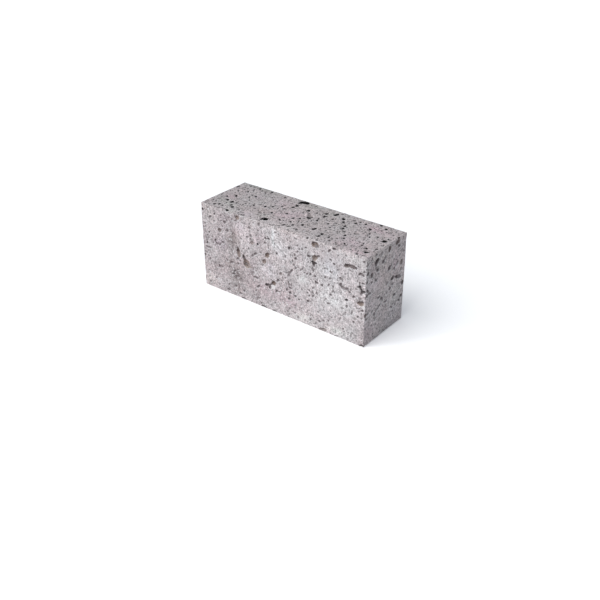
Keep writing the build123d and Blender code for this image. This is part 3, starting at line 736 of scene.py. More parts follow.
def smooth_step(low, high, values):
    """Rises from 0 at low to 1 at high along the cubic 3t^2 - 2t^3."""
    part = np.clip((values - low) / (high - low), 0, 1)
    return part * part * (3 - 2 * part)


def graded_lines(size, step, arris):
    """Places from 0 to size: a few close lines on each arris, and lines about one step apart between."""
    near = arris * np.array((0.0, 0.35, 0.7, 1.05))
    count = round((size - 2 * near[-1]) / step)
    middle = np.linspace(near[-1], size - near[-1], count + 1)
    return np.concatenate((near[:-1], middle, size - near[-2::-1]))


def block_surface(lines):
    """The six faces of a block as grids of two lattice numbers each, welded along the arrises.

    On the face across one axis, the other two axes' line numbers are the grid's two parameters. A corner
    of the grid is a lattice number triple, and equal triples of neighbouring faces become one vertex.
    Returns the vertices' triples, the quads, and each quad corner's face number and two parameters.
    """
    triples, quads, faces = [], [], []
    made = 0
    for axis in range(3):
        first, second = (axis + 1) % 3, (axis + 2) % 3
        across, along = np.arange(len(lines[first])), np.arange(len(lines[second]))
        for far in (False, True):
            grid = np.empty((len(across), len(along), 3), int)
            grid[..., axis] = len(lines[axis]) - 1 if far else 0
            grid[..., first] = across[:, None]
            grid[..., second] = along[None, :]
            number = made + np.arange(grid[..., 0].size).reshape(grid.shape[:2])
            ring = [number[:-1, :-1], number[1:, :-1], number[1:, 1:], number[:-1, 1:]]
            if not far:
                ring.reverse()
            quads.append(np.stack(ring, -1).reshape(-1, 4))
            triples.append(grid.reshape(-1, 3))
            faces.append(np.full(number.size, axis * 2 + far))
            made += number.size
    triples, quads, faces = np.concatenate(triples), np.concatenate(quads), np.concatenate(faces)
    welded, vertex = np.unique(triples, axis=0, return_inverse=True)
    return welded, vertex.ravel()[quads], faces[quads], triples[quads]


def bake_layout(corner_faces, corner_places, size):
    """Lays the six faces flat, side by side on one square sheet, the hidden ones smaller than the others.

    A corner's place on the sheet is its face's lower left corner there plus its two places on the face,
    in millimetres times the face's share, divided by the sheet's side.
    """
    length, width, height = size
    gap, small = 3.0, 0.64
    side = length + width + 3 * gap
    hidden_row = gap + height + gap + width + gap
    left_end, right_end, front, back, underside, top = range(6)
    sheet = {
        left_end: (gap + small * length + gap, hidden_row, small),
        right_end: (length + 2 * gap, gap, 1.0),
        front: (gap, gap, 1.0),
        back: (gap, hidden_row, small),
        underside: (gap, hidden_row + small * height + gap, small),
        top: (gap, gap + height + gap, 1.0),
    }
    places = np.empty(corner_places.shape[:-1] + (2,))
    for face, (left, bottom, share) in sheet.items():
        on_face = corner_faces == face
        axis = face // 2
        wide, tall = [(1, 2), (0, 2), (0, 1)][axis]
        flat = corner_places[on_face][:, (wide, tall)]
        places[on_face] = (flat * share + (left, bottom)) / side
    return places


class FaceView:
    """Points seen square on to a face: right of and down from its upper left corner, and out from it."""

    def __init__(self, points, half, face):
        self.to_right, self.to_up = np.array(face.right, float), np.array(face.up, float)
        self.to_out = np.cross(self.to_right, self.to_up)
        local = points - (self.to_out - self.to_right + self.to_up) * half
        self.right = local @ self.to_right
        self.down = -local @ self.to_up
        self.out = local @ self.to_out


def mouth_share(oval, right, down):
    """Share of the way from an oval mouth's middle to its rim at each point.

    The oval is turned, its middle line is bent into a parabola by the bow, and its width grows along
    the length by the taper. Also returns by how much the share grows in a millimetre, and how far right of
    and above the middle the point lies.
    """
    turn = math.radians(oval.turn)
    aside, above = right - oval.right, oval.down - down
    along = aside * math.cos(turn) + above * math.sin(turn)
    across = above * math.cos(turn) - aside * math.sin(turn)
    half_length, half_width = oval.length / 2, oval.width / 2
    share = along / half_length
    bend = np.minimum(share ** 2, 1.5) - 0.35
    across = across - oval.bow * bend
    half_width = half_width * np.clip(1 + oval.taper * share, 0.3, 1.7)
    rim = np.sqrt(share ** 2 + (across / half_width) ** 2)
    slope = np.hypot(along / half_length ** 2, across / half_width ** 2) / np.maximum(rim, 1e-6)
    return rim, np.maximum(slope, 1e-3), aside, above


def soft_share(oval, view):
    """Strength of a soft-edged oval: exp(-1.4 s^2) at the share s of the way from its middle to its edge."""
    share = mouth_share(oval, view.right, view.down)[0]
    return np.exp(-SOFT_FALL * share ** 2)


def near_hollow(hollow, view, margin):
    """Numbers of the points that a hollow could reach, with a margin round it."""
    reach = hollow.length / 2 + abs(hollow.bow) + margin
    close = (np.abs(view.right - hollow.right) < reach) & (np.abs(view.down - hollow.down) < reach)
    return np.flatnonzero(close & (view.out > -hollow.depth - 0.5))


def wavering_mouth(hollow, view, near, waver):
    """The mouth's share, slope and way at the near points, each led astray by its waver."""
    right = view.right[near] + waver[near, 0]
    down = view.down[near] + waver[near, 1]
    return mouth_share(hollow, right, down)


def gather_at_rims(points, half, face, hollows, waver):
    """Draws the face's grid points along their rays from each hollow's wavering mouth towards its rim.

    A point d millimetres from the rim moves by 0.65 d exp(-(d / 0.8)^2), less near the arrises, so that
    the rims come out crisp.
    """
    pull, width = 0.65, 0.8
    for hollow in hollows:
        view = FaceView(points, half, face)
        near = near_hollow(hollow, view, margin=2.0)
        near = near[view.out[near] > -0.01]
        rim, slope, aside, above = wavering_mouth(hollow, view, near, waver)
        gap = (1 - rim) / slope
        from_arris = half - np.abs(points[near]) + 1e6 * np.abs(view.to_out)
        free = smooth_step(0.5, 3.0, from_arris.min(axis=1))
        move = free * pull * gap * np.exp(-(gap / width) ** 2) / np.maximum(np.hypot(aside, above), 0.3)
        points[near] += (move * aside)[:, None] * view.to_right + (move * above)[:, None] * view.to_up


def sink_hollows(points, half, face, hollows, waver, marks):
    """Lowers the face into its hollows: depth times 1 - s^2.6 at the share s of the way from middle to rim.

    Marks for every point how far inside the nearest rim it lies, in millimetres, how far it lies to the upper
    left of that hollow, towards its painted shade, from -1 to 1, and how dark from grime and painted shade
    and how wide it is.
    """
    bowl_power, kept_inside = 2.6, 0.3
    # Painted shade lies on each hollow's upper left side, which on the top is its far left side
    upper, left = 0.85, 0.5
    view = FaceView(points, half, face)
    level = view.out.copy()
    for hollow in hollows:
        near = near_hollow(hollow, view, margin=3.0)
        rim, slope, aside, above = wavering_mouth(hollow, view, near, waver)
        bowl = -hollow.depth * (1 - np.minimum(rim, 1) ** bowl_power)
        level[near] = np.where(rim < 1, np.minimum(level[near], bowl), level[near])
        gap = (1 - rim) / slope
        nearest = gap > np.minimum(marks["rim_distance"][near], kept_inside)
        chosen = near[nearest]
        lee = rim * (upper * above - left * aside) / np.maximum(np.hypot(aside, above), 1e-6)
        marks["rim_distance"][chosen] = gap[nearest]
        marks["lee"][chosen] = np.clip(lee[nearest], -1, 1)
        marks["dirt_and_shade"][chosen] = hollow.dirt_and_shade
        marks["breadth"][chosen] = hollow.width
    points += (level - view.out)[:, None] * view.to_out


def face_size(face, half):
    """Width and height of a face."""
    return 2 * abs(np.dot(half, face.right)), 2 * abs(np.dot(half, face.up))


def scattered_hollows(face, half, columns, rows, seed):
    """Main blow holes of a hidden face, at the places that the solid has them.

    The face is divided into columns and rows of equal cells, and most cells get one hollow, away from the
    cell's edges.
    """
    chance = Random(seed)
    wide, tall = face_size(face, half)
    hollows = []
    for column in range(columns):
        for row in range(rows):
            length = chance.uniform(3.8, 6.2)
            width = length * chance.uniform(0.55, 0.9)
            across = (column + chance.uniform(0.25, 0.75)) / columns
            up = (row + chance.uniform(0.25, 0.75)) / rows
            depth = width * chance.uniform(0.42, 0.52)
            turn = chance.uniform(-90, 90)
            if chance.random() < 0.7:
                hollows.append(Hollow(across * wide, (1 - up) * tall, length, width, depth, turn))
    return tuple(hollows)


def strewn_hollows(face, half, among):
    """Small blow holes at seeded random places of a face, most of them tiny, clear of the main ones."""
    finish = FACE_FINISHES[face]
    narrowest, margin = 1.5, 2
    rng = np.random.default_rng(finish.seed)
    wide, tall = face_size(face, half)
    hollows = []
    while len(hollows) < finish.count:
        width = narrowest + (finish.widest - narrowest) * rng.power(0.5)
        length = width * rng.uniform(1.05, 1.9)
        right, down = rng.uniform(margin, wide - margin), rng.uniform(margin, tall - margin)
        if any(
            math.hypot(right - other.right, down - other.down) < (length + other.length) / 2
            for other in among
        ):
            continue
        hollows.append(Hollow(
            right, down, length, width,
            depth=width * rng.uniform(0.35, 0.55),
            turn=rng.uniform(-90, 90),
            taper=rng.uniform(-0.4, 0.4),
            bow=rng.uniform(-0.2, 0.2) * width,
            dirt_and_shade=rng.uniform(0.5, 1.0),
        ))
    return tuple(hollows)


def all_hollows(half):
    """Hollows of every face: the main ones, and small ones strewn among them."""
    main_hollows = {FRONT: FRONT_HOLLOWS, TOP: TOP_HOLLOWS, RIGHT_END: RIGHT_END_HOLLOWS}
    for face, (columns, rows, seed) in HIDDEN_CELLS.items():
        main_hollows[face] = scattered_hollows(face, half, columns, rows, seed)
    return {face: listed + strewn_hollows(face, half, listed) for face, listed in main_hollows.items()}


def stain_colour(points, half, stains, noise):
    """What the stains multiply each point's colour by.

    A stain's strength falls off softly from its middle, broken up by noise. Strengths add up.
    """
    more_red, less_green, more_blue = 0.032, 0.030, 0.038
    darkest, palest = 0.4, 1.6
    tone, pink, violet = np.zeros((3, len(points)))
    broken = 1 + 0.45 * noise.at(points, 5.0) + 0.3 * noise.at(points + 40, 2.6)
    for face, listed in stains.items():
        view = FaceView(points, half, face)
        shown = broken * smooth_step(-5.0, -1.0, view.out)
        for stain in listed:
            oval = Oval(stain.right, stain.down, stain.length, stain.width, stain.turn)
            strength = shown * soft_share(oval, view)
            tone += TONE_STRENGTH * stain.tone * strength
            pink += stain.pink * strength
            violet += stain.violet * strength
    tint = np.stack((1 + more_red * pink, 1 - less_green * pink, 1 + more_blue * violet), 1)
    return tint * np.clip(1 + tone, darkest, palest)[:, None]


def pebble_field(points, half):
    """How far inside a white pebble's outline each point lies, in millimetres."""
    view = FaceView(points, half, FRONT)
    field = np.full(len(points), -FAR_FROM_RIM)
    for pebble in WHITE_PEBBLES:
        rim, slope, _, _ = mouth_share(pebble, view.right, view.down)
        field = np.maximum(field, (1 - rim) / slope)
    return np.where(view.out > -FRONT_REACH, field, -FAR_FROM_RIM)


def smoothed_share(points, half):
    """How far each point lies in a smoother patch, from 0 to 1."""
    view = FaceView(points, half, FRONT)
    share = np.zeros(len(points))
    for patch in SMOOTH_PATCHES:
        share = np.maximum(share, soft_share(patch, view))
    return np.where(view.out > -FRONT_REACH, share, 0.0)


def arris_gap(points, half, one, other):
    """Distance of each point from the arris between two faces."""
    return np.hypot(FaceView(points, half, one).out, FaceView(points, half, other).out)


def arris_radius(points, half, base, noises):
    """Rounding of the arris next to each point.

    It is about half the base, and more at small chips. The arris between front and top is worn rounder,
    but not at its ends, and the one between front and right end is notched half-way up.
    """
    smallest, largest = 0.35, 4.5
    coarse, medium, fine = noises
    radius = base * (0.5 + 0.2 * coarse.at(points, 14.0))
    chips = fine.at(points + 90, 3.5)
    radius += 0.4 * smooth_step(0.25, 0.7, chips)
    worn = smooth_step(9, 3, arris_gap(points, half, FRONT, TOP))
    worn *= smooth_step(0, 9, half[0] - np.abs(points[:, 0]))
    wear = 1.1 + 1.6 * medium.at(points, 9.0) + 1.1 * fine.at(points + 50, 4.2)
    radius += worn * np.maximum(wear, 0)
    notched = smooth_step(6, 2, arris_gap(points, half, FRONT, RIGHT_END))
    down = half[2] - points[:, 2]
    notched *= smooth_step(24, 32, down) * smooth_step(66, 58, down)
    notch = 0.9 + 1.1 * fine.at(points + 20, 7.0)
    radius += notched * notch
    return np.clip(radius, smallest, largest)[:, None]


def face_blend(points, half, quality):
    """A quality of the faces' finishes at each point, blended over about 2 mm along the arrises."""
    total, weight = np.zeros((2, len(points)))
    for face, finish in FACE_FINISHES.items():
        share = smooth_step(-2.5, -0.3, FaceView(points, half, face).out) + 1e-6
        total += share * getattr(finish, quality)
        weight += share
    return total / weight


def skin_depth(points, coarseness, noises):
    """How far the skin is lowered at each point: noise of four periods, softly cut off at the block's faces.

    The cut is -k log(1 + exp(-(h - 0.05) / k)) of the noise's height h, with the softness k.
    """
    coarse, medium, fine = noises
    offset, softness = 0.05, 0.06
    relief = 0.20 * coarse.at(points, 24.0) + 0.22 * medium.at(points, 9.0)
    relief += 0.34 * fine.at(points, 4.6) + 0.26 * coarse.at(points + 70, 2.7)
    return -softness * np.log1p(np.exp(-(coarseness * relief - offset) / softness))


def brick_mesh(shape):
    """The brick's skin as arrays: vertices, quads, corner places on the bake sheet, and named point values.

    A block's six face grids are rounded along the arrises by carrying each point out from a smaller inner
    block by the arris radius. The hollows are then sunk in. Last, the skin is lowered by noise.
    """
    size = np.array((shape.length, shape.width, shape.height)) / MM
    half = size / 2
    base = shape.arris_radius / MM
    lines = [graded_lines(extent, shape.grid_step / MM, base) for extent in size]
    triples, quads, corner_faces, corner_triples = block_surface(lines)
    points = np.stack([lines[axis][triples[:, axis]] for axis in range(3)], 1) - half
    corner_places = np.stack([lines[axis][corner_triples[..., axis]] for axis in range(3)], -1)
    sheet = bake_layout(corner_faces, corner_places, size)

    noises = [Noise(shape.seed + layer) for layer in range(3)]
    _, medium, fine = noises
    waver = np.stack([
        0.42 * medium.at(points + aside, 3.6) + 0.32 * fine.at(points + aside, 1.8)
        for aside in (0, 35)
    ], 1)
    hollows = all_hollows(half)
    for face, listed in hollows.items():
        gather_at_rims(points, half, face, listed, waver)

    radius = arris_radius(points, half, base, noises)
    inner = np.clip(points, radius - half, half - radius)
    outward = points - inner
    outward /= np.linalg.norm(outward, axis=1, keepdims=True)
    points = inner + radius * outward

    darkness = face_blend(points, half, "darkness")
    grain = face_blend(points, half, "grain")
    grain *= 1 - PATCH_SMOOTHING * smoothed_share(points, half)
    coarseness = face_blend(points, half, "coarseness")
    for one, other in SMOOTHER_ARRISES:
        coarseness *= 1 - ARRIS_SMOOTHING * smooth_step(4, 1, arris_gap(points, half, one, other))
    marks = {name: np.zeros(len(points)) for name in ("rim_distance", "lee", "dirt_and_shade", "breadth")}
    marks["rim_distance"] -= FAR_FROM_RIM
    stain = stain_colour(
        points, half, {FRONT: FRONT_STAINS, TOP: TOP_STAINS, RIGHT_END: RIGHT_END_STAINS}, medium)
    pebble = pebble_field(points, half)
    for face, listed in hollows.items():
        sink_hollows(points, half, face, listed, waver, marks)
    marks["rim_distance"] *= face_blend(points, half, "rim")
    marks["breadth"] *= face_blend(points, half, "breadth")

    points += skin_depth(points, coarseness, noises)[:, None] * outward
    np.clip(points, -half, half, out=points)

    values = {"darkness": darkness, "grain": grain, "pebble": pebble, "stain": stain} | marks
    return (points + (0, 0, half[2])) * MM, quads, sheet, values


def mesh_object(name, points, quads, sheet, values):
    """A smooth mesh object from arrays, with its bake sheet and an attribute for each named value."""
    mesh = bpy.data.meshes.new(name)
    mesh.vertices.add(len(points))
    mesh.vertices.foreach_set("co", points.astype(np.float32).ravel())
    mesh.loops.add(quads.size)
    mesh.loops.foreach_set("vertex_index", quads.astype(np.int32).ravel())
    mesh.polygons.add(len(quads))
    mesh.polygons.foreach_set("loop_start", np.arange(0, quads.size, 4, dtype=np.int32))
    mesh.update(calc_edges=True)
    mesh.shade_smooth()
    mesh.uv_layers.new(name="OFBake").uv.foreach_set("vector", sheet.astype(np.float32).ravel())
    for label, field in values.items():
        kind, part = ("FLOAT", "value") if field.ndim == 1 else ("FLOAT_VECTOR", "vector")
        mesh.attributes.new(label, kind, "POINT").data.foreach_set(part, field.astype(np.float32).ravel())
    piece = bpy.data.objects.new(name, mesh)
    bpy.context.scene.collection.objects.link(piece)
    return piece


# Shader building
def add_node(tree, kind, inputs=(), **settings):
    """A new node with its settings, and its inputs, by name or number, linked to sockets or set to values."""
    node = tree.nodes.new(kind)
    for name, value in settings.items():
        setattr(node, name, value)
    for key, value in dict(inputs).items():
        if isinstance(value, bpy.types.NodeSocket):
            tree.links.new(value, node.inputs[key])
        else:
            node.inputs[key].default_value = value
    return node


def maths(tree, operation, *values):
    """Output of a Math node."""
    return add_node(tree, "ShaderNodeMath", enumerate(values), operation=operation).outputs[0]


def ramp(tree, value, low, high, to_low=0.0, to_high=1.0):
    """Output of a smooth step of value from low to high."""
    inputs = {"Value": value, "From Min": low, "From Max": high, "To Min": to_low, "To Max": to_high}
    node = add_node(tree, "ShaderNodeMapRange", inputs, interpolation_type="SMOOTHSTEP")
    return node.outputs["Result"]


def colour_mix(tree, factor, under, over, blend="MIX"):
    """Output of a colour mix of over onto under."""
    node = add_node(tree, "ShaderNodeMix", {0: factor, 6: under, 7: over}, data_type="RGBA", blend_type=blend)
    return node.outputs[2]


def new_group(name, inputs, outputs):
    """An empty shader node group with named sockets, and its input and output nodes."""
    group = bpy.data.node_groups.new(name, "ShaderNodeTree")
    for label, kind in inputs.items():
        group.interface.new_socket(name=label, in_out="INPUT", socket_type=kind)
    for label, kind in outputs.items():
        group.interface.new_socket(name=label, in_out="OUTPUT", socket_type=kind)
    return group, group.nodes.new("NodeGroupInput").outputs, group.nodes.new("NodeGroupOutput").inputs


def speckle_group():
    """Round grains of many sizes: one in each cell of a Voronoi pattern, kept in a share of the cells."""
    sockets = {"Vector": "NodeSocketVector"}
    sockets |= dict.fromkeys(("Spacing", "Radius", "Softness", "Share"), "NodeSocketFloat")
    tree, given, result = new_group("speckle", sockets, dict.fromkeys(("Mask", "Tone"), "NodeSocketFloat"))
    scale = maths(tree, "DIVIDE", 1.0, given["Spacing"])
    cells = add_node(tree, "ShaderNodeTexVoronoi", {"Vector": given["Vector"], "Scale": scale})
    chance = add_node(tree, "ShaderNodeSeparateColor", {"Color": cells.outputs["Color"]}).outputs
    own_size = maths(tree, "MULTIPLY_ADD", chance["Green"], 0.9, 0.55)
    radius = maths(tree, "MULTIPLY", given["Radius"], own_size)
    outer = maths(tree, "ADD", radius, given["Softness"])
    inner = maths(tree, "SUBTRACT", radius, given["Softness"])
    spot = ramp(tree, cells.outputs["Distance"], inner, outer, 1.0, 0.0)
    kept = maths(tree, "LESS_THAN", chance["Red"], given["Share"])
    tree.links.new(maths(tree, "MULTIPLY", spot, kept), result["Mask"])
    tree.links.new(chance["Blue"], result["Tone"])
    return tree


def cloud_group():
    """Soft clouds: layered noise of a given period, spread by a smooth step between two levels."""
    sockets = {"Vector": "NodeSocketVector"}
    sockets |= dict.fromkeys(("Period", "Low", "High"), "NodeSocketFloat")
    tree, given, result = new_group("cloud", sockets, {"Mask": "NodeSocketFloat"})
    scale = maths(tree, "DIVIDE", 1.0, given["Period"])
    noise = add_node(
        tree, "ShaderNodeTexNoise",
        {"Vector": given["Vector"], "Scale": scale, "Detail": 4.0, "Roughness": 0.6},
    )
    mask = ramp(tree, noise.outputs["Fac"], given["Low"], given["High"])
    tree.links.new(mask, result["Mask"])
    return tree


def place_group(tree, group, **inputs):
    """Outputs of a node group placed in a tree with its own values."""
    sockets = {label.capitalize(): value for label, value in inputs.items()}
    return add_node(tree, "ShaderNodeGroup", sockets, node_tree=group).outputs


def concrete_material(finish):
    """Open-pored concrete: mottled cement, dark and pale sand, fine pores, stains, and hollows of grime and
    painted shade with a painted highlight on their lit lips.
    """
    material = bpy.data.materials.new("open_pored_concrete")
    material.use_nodes = True
    tree = material.node_tree
    tree.nodes.clear()
    place = add_node(tree, "ShaderNodeTexCoord").outputs["Object"]
    drawn_out = {0: place, 1: finish.grain_stretch}
    place = add_node(tree, "ShaderNodeVectorMath", drawn_out, operation="DIVIDE").outputs[0]
    speckle, cloud = speckle_group(), cloud_group()

    def field(name, output="Fac"):
        return add_node(tree, "ShaderNodeAttribute", attribute_name=name).outputs[output]

    def noise(period, low=0.33, high=0.67):
        return place_group(tree, cloud, vector=place, period=period * MM, low=low, high=high)["Mask"]

    def grains(spacing, radius, softness, share):
        return place_group(
            tree, speckle, vector=place, spacing=spacing * MM, radius=radius, softness=softness, share=share)

    def sand_amount(sand, strongest):
        return maths(tree, "MULTIPLY", sand["Mask"], ramp(tree, sand["Tone"], 0.0, 1.0, 0.3, strongest))

    # Cement, with mottling of four sizes that is strongest where the grain is
    grain = field("grain")
    colour = colour_mix(tree, noise(28.0, 0.30, 0.72), (*finish.grey_cement, 1), (*finish.pink_cement, 1))
    colour = colour_mix(tree, 1.0, colour, field("stain", "Vector"), "MULTIPLY")
    mottle = 1.0
    for period, amount in ((1.3, 0.68), (2.2, 0.40), (4.0, 0.36), (9.0, 0.12)):
        swing = maths(tree, "MULTIPLY", maths(tree, "SUBTRACT", noise(period), 0.5), grain)
        mottle = maths(tree, "MULTIPLY_ADD", swing, amount, mottle)
    colour = colour_mix(tree, 1.0, colour, mottle, "MULTIPLY")

    # Sand
    dark_sand = grains(spacing=1.6, radius=0.36, softness=0.10, share=0.20)
    colour = colour_mix(tree, sand_amount(dark_sand, 0.9), colour, (*finish.dark_sand, 1))
    pale_share = maths(tree, "MULTIPLY", grain, 0.34)
    pale_sand = grains(spacing=1.8, radius=0.36, softness=0.10, share=pale_share)
    colour = colour_mix(tree, sand_amount(pale_sand, 1.0), colour, (*finish.pale_sand, 1))

    # Pores, hollows and pebbles, with painted shade and a painted highlight at the hollows
    darkness = field("darkness")
    # Painted shade: each hollow's colour goes from its lit lower right side to its shaded upper left side
    lee = ramp(tree, field("lee"), -0.6, 0.7)
    grey = colour_mix(tree, lee, (*finish.grey_dirt_and_shade, 1), (*finish.grey_shade, 1))
    brown = colour_mix(tree, lee, (*finish.brown_dirt, 1), (*finish.brown_shade, 1))
    # Painted shade: narrow hollows take the cooler grey, broad ones the brown
    brown = colour_mix(tree, ramp(tree, field("breadth"), 3.0, 6.0), grey, brown)
    # Painted shade: by the face's darkness the top's hollows take near black instead of brown, blackest on
    # their far side
    black = colour_mix(tree, lee, (*finish.top_dirt_and_shade, 1), (*finish.top_deep_shade, 1))
    # Colour inside the hollows: grime, with painted shade from their lit to their shaded side
    dirt_and_shade = colour_mix(tree, 1.0, colour_mix(tree, darkness, brown, black), mottle, "MULTIPLY")
    # Painted shadow: hollows marked above 1 turn towards black_shade, near black inside the deepest holes
    deep_shadow = ramp(tree, field("dirt_and_shade"), 1.0, 2.0)
    dirt_and_shade = colour_mix(tree, deep_shadow, dirt_and_shade, (*finish.black_shade, 1))
    # Fine pores take that colour of grime and painted shade; the top, by its darkness, gets more of them
    pores = grains(spacing=3.3, radius=0.21, softness=0.08, share=0.5)["Mask"]
    top_pores = grains(spacing=2.3, radius=0.27, softness=0.07, share=0.5)["Mask"]
    pores = maths(tree, "MAXIMUM", pores, maths(tree, "MULTIPLY", top_pores, darkness))
    colour = colour_mix(tree, maths(tree, "MULTIPLY", pores, 0.75), colour, dirt_and_shade)
    frayed = noise(1.2, 0.2, 0.8)
    rim = maths(tree, "ADD", field("rim_distance"), maths(tree, "MULTIPLY_ADD", frayed, 0.6, -0.3))
    rim = maths(tree, "ADD", rim, ramp(tree, darkness, 0.0, 1.0, 0.12, -0.15))
    # Painted highlight: a pale lip in the pale sand colour just outside each hollow's lit lower right rim
    lit_side = ramp(tree, field("lee"), -0.3, -0.8, 0.0, 0.6)
    lit_lip_highlight = maths(tree, "MULTIPLY", ramp(tree, rim, -1.1, -0.5), lit_side)
    colour = colour_mix(tree, lit_lip_highlight, colour, (*finish.pale_sand, 1))
    # Hollows take the colour of grime and painted shade, as far as their dirt_and_shade mark allows
    hollow = ramp(tree, rim, -0.35, 0.30)
    hollow = maths(tree, "MULTIPLY", hollow, maths(tree, "MINIMUM", field("dirt_and_shade"), 1.0))
    colour = colour_mix(tree, hollow, colour, dirt_and_shade)
    colour = colour_mix(tree, ramp(tree, field("pebble"), -0.2, 0.5), colour, (*finish.white_pebble, 1))

    # Relief, in millimetres
    micro = noise(0.9, 0.2, 0.8)
    relief = maths(tree, "MULTIPLY", micro, 0.20)
    relief = maths(tree, "MULTIPLY_ADD", noise(1.8, 0.2, 0.8), maths(tree, "MULTIPLY", grain, 0.45), relief)
    relief = maths(tree, "MULTIPLY_ADD", pale_sand["Mask"], 0.12, relief)
    relief = maths(tree, "MULTIPLY_ADD", pores, -0.5, relief)
    bump = add_node(tree, "ShaderNodeBump", {"Height": relief, "Distance": MM, "Strength": 1.0})
    roughness = ramp(tree, micro, 0.0, 1.0, 0.85, 0.98)
    shader = add_node(
        tree, "ShaderNodeBsdfPrincipled",
        {"Base Color": colour, "Roughness": roughness, "Normal": bump.outputs["Normal"],
         "Specular IOR Level": 0.2},
    )
    add_node(tree, "ShaderNodeOutputMaterial", {"Surface": shader.outputs["BSDF"]})
    return material


def shown_rays(tree):
    """1 for rays that show the stage: from the camera, in a gloss or through glass."""
    path = add_node(tree, "ShaderNodeLightPath").outputs
    shown = maths(tree, "MAXIMUM", path["Is Camera Ray"], path["Is Glossy Ray"])
    return maths(tree, "MAXIMUM", shown, path["Is Transmission Ray"])


def floor_material(light):
    """A pale matt floor, shown brighter than it is so that only the brick's soft shadow is left on white."""
    material = bpy.data.materials.new("studio_floor")
    material.use_nodes = True
    tree = material.node_tree
    tree.nodes.clear()
    colour = colour_mix(tree, shown_rays(tree), (*light.floor_colour, 1), (*light.floor_shown, 1))
    matt = add_node(tree, "ShaderNodeBsdfDiffuse", {"Color": colour})
    add_node(tree, "ShaderNodeOutputMaterial", {"Surface": matt.outputs[0]})
    return material


def studio_world(light):
    """Even soft light from all round, shown as white."""
    world = bpy.data.worlds.new("studio_air")
    world.use_nodes = True
    tree = world.node_tree
    tree.nodes.clear()
    seen = shown_rays(tree)
    strength = maths(tree, "MULTIPLY_ADD", seen, 1.0 - light.sky_strength, light.sky_strength)
    colour = colour_mix(tree, seen, (*light.sky_colour, 1), (1, 1, 1, 1))
    background = add_node(tree, "ShaderNodeBackground", {"Color": colour, "Strength": strength})
    add_node(tree, "ShaderNodeOutputWorld", {"Surface": background.outputs[0]})
    return world


class BrickShape(bpy.types.PropertyGroup):
    """Sizes of the brick's skin."""

    length: FloatProperty(name="Length", description="Along the front", default=cad_size.x, unit="LENGTH")
    width: FloatProperty(name="Width", description="From front to back", default=cad_size.y, unit="LENGTH")
    height: FloatProperty(name="Height", description="From bed to top", default=cad_size.z, unit="LENGTH")
    arris_radius: FloatProperty(
        name="Arris radius", description="Twice the rounding of an unchipped arris", default=1.0 * MM,
        unit="LENGTH")
    grid_step: FloatProperty(
        name="Grid step", description="Distance between grid lines of the skin", default=0.96 * MM,
        unit="LENGTH")
    seed: IntProperty(name="Seed", description="Picks the chance relief", default=4)


class ConcreteFinish(bpy.types.PropertyGroup):
    """Colours of the concrete."""

    grain_stretch: FloatVectorProperty(
        name="Grain stretch", description="How far the grain is drawn out along each axis",
        default=(0.90, 1.08, 1.06), subtype="XYZ")
    grey_cement: FloatVectorProperty(
        name="Grey cement", description="Cooler cement", default=(0.619, 0.576, 0.582), subtype="COLOR")
    pink_cement: FloatVectorProperty(
        name="Pink cement", description="Warmer cement", default=(0.657, 0.576, 0.582), subtype="COLOR")
    dark_sand: FloatVectorProperty(
        name="Dark sand", description="Dark grains", default=(0.20, 0.168, 0.168), subtype="COLOR")
    pale_sand: FloatVectorProperty(
        name="Pale sand", description="Pale grains", default=(0.88, 0.86, 0.87), subtype="COLOR")
    # Grime of the upright faces' small hollows, painted greyer and cooler than the broad ones' as shade
    grey_dirt_and_shade: FloatVectorProperty(
        name="Grey dirt", description="Lit side of the upright faces' small hollows",
        default=(0.298, 0.258, 0.266), subtype="COLOR")
    # Painted shade on the upper side of the upright faces' small hollows
    grey_shade: FloatVectorProperty(
        name="Grey shade", description="Upper side of the upright faces' small hollows",
        default=(0.131, 0.106, 0.106), subtype="COLOR")
    brown_dirt: FloatVectorProperty(
        name="Brown dirt", description="Lit side of the upright faces' broad hollows",
        default=(0.353, 0.262, 0.214), subtype="COLOR")
    # Painted shade on the upper side of the upright faces' broad hollows
    brown_shade: FloatVectorProperty(
        name="Brown shade", description="Upper side of the upright faces' broad hollows",
        default=(0.152, 0.103, 0.079), subtype="COLOR")
    # Top's hollows: grime and painted shade on the near side, deeper painted shade on the far side
    top_dirt_and_shade: FloatVectorProperty(
        name="Black dirt", description="Near side of the top's hollows", default=(0.097, 0.084, 0.083),
        subtype="COLOR")
    top_deep_shade: FloatVectorProperty(
        name="Dark dirt", description="Far side of the top's hollows", default=(0.0225, 0.019, 0.0185),
        subtype="COLOR")
    # Painted shadow: the near-black inside of the deepest hollows
    black_shade: FloatVectorProperty(
        name="Black shade", description="Inside of the blackest hollows", default=(0.004, 0.004, 0.004),
        subtype="COLOR")
    white_pebble: FloatVectorProperty(
        name="White pebble", description="White gravel", default=(0.88, 0.84, 0.84), subtype="COLOR")


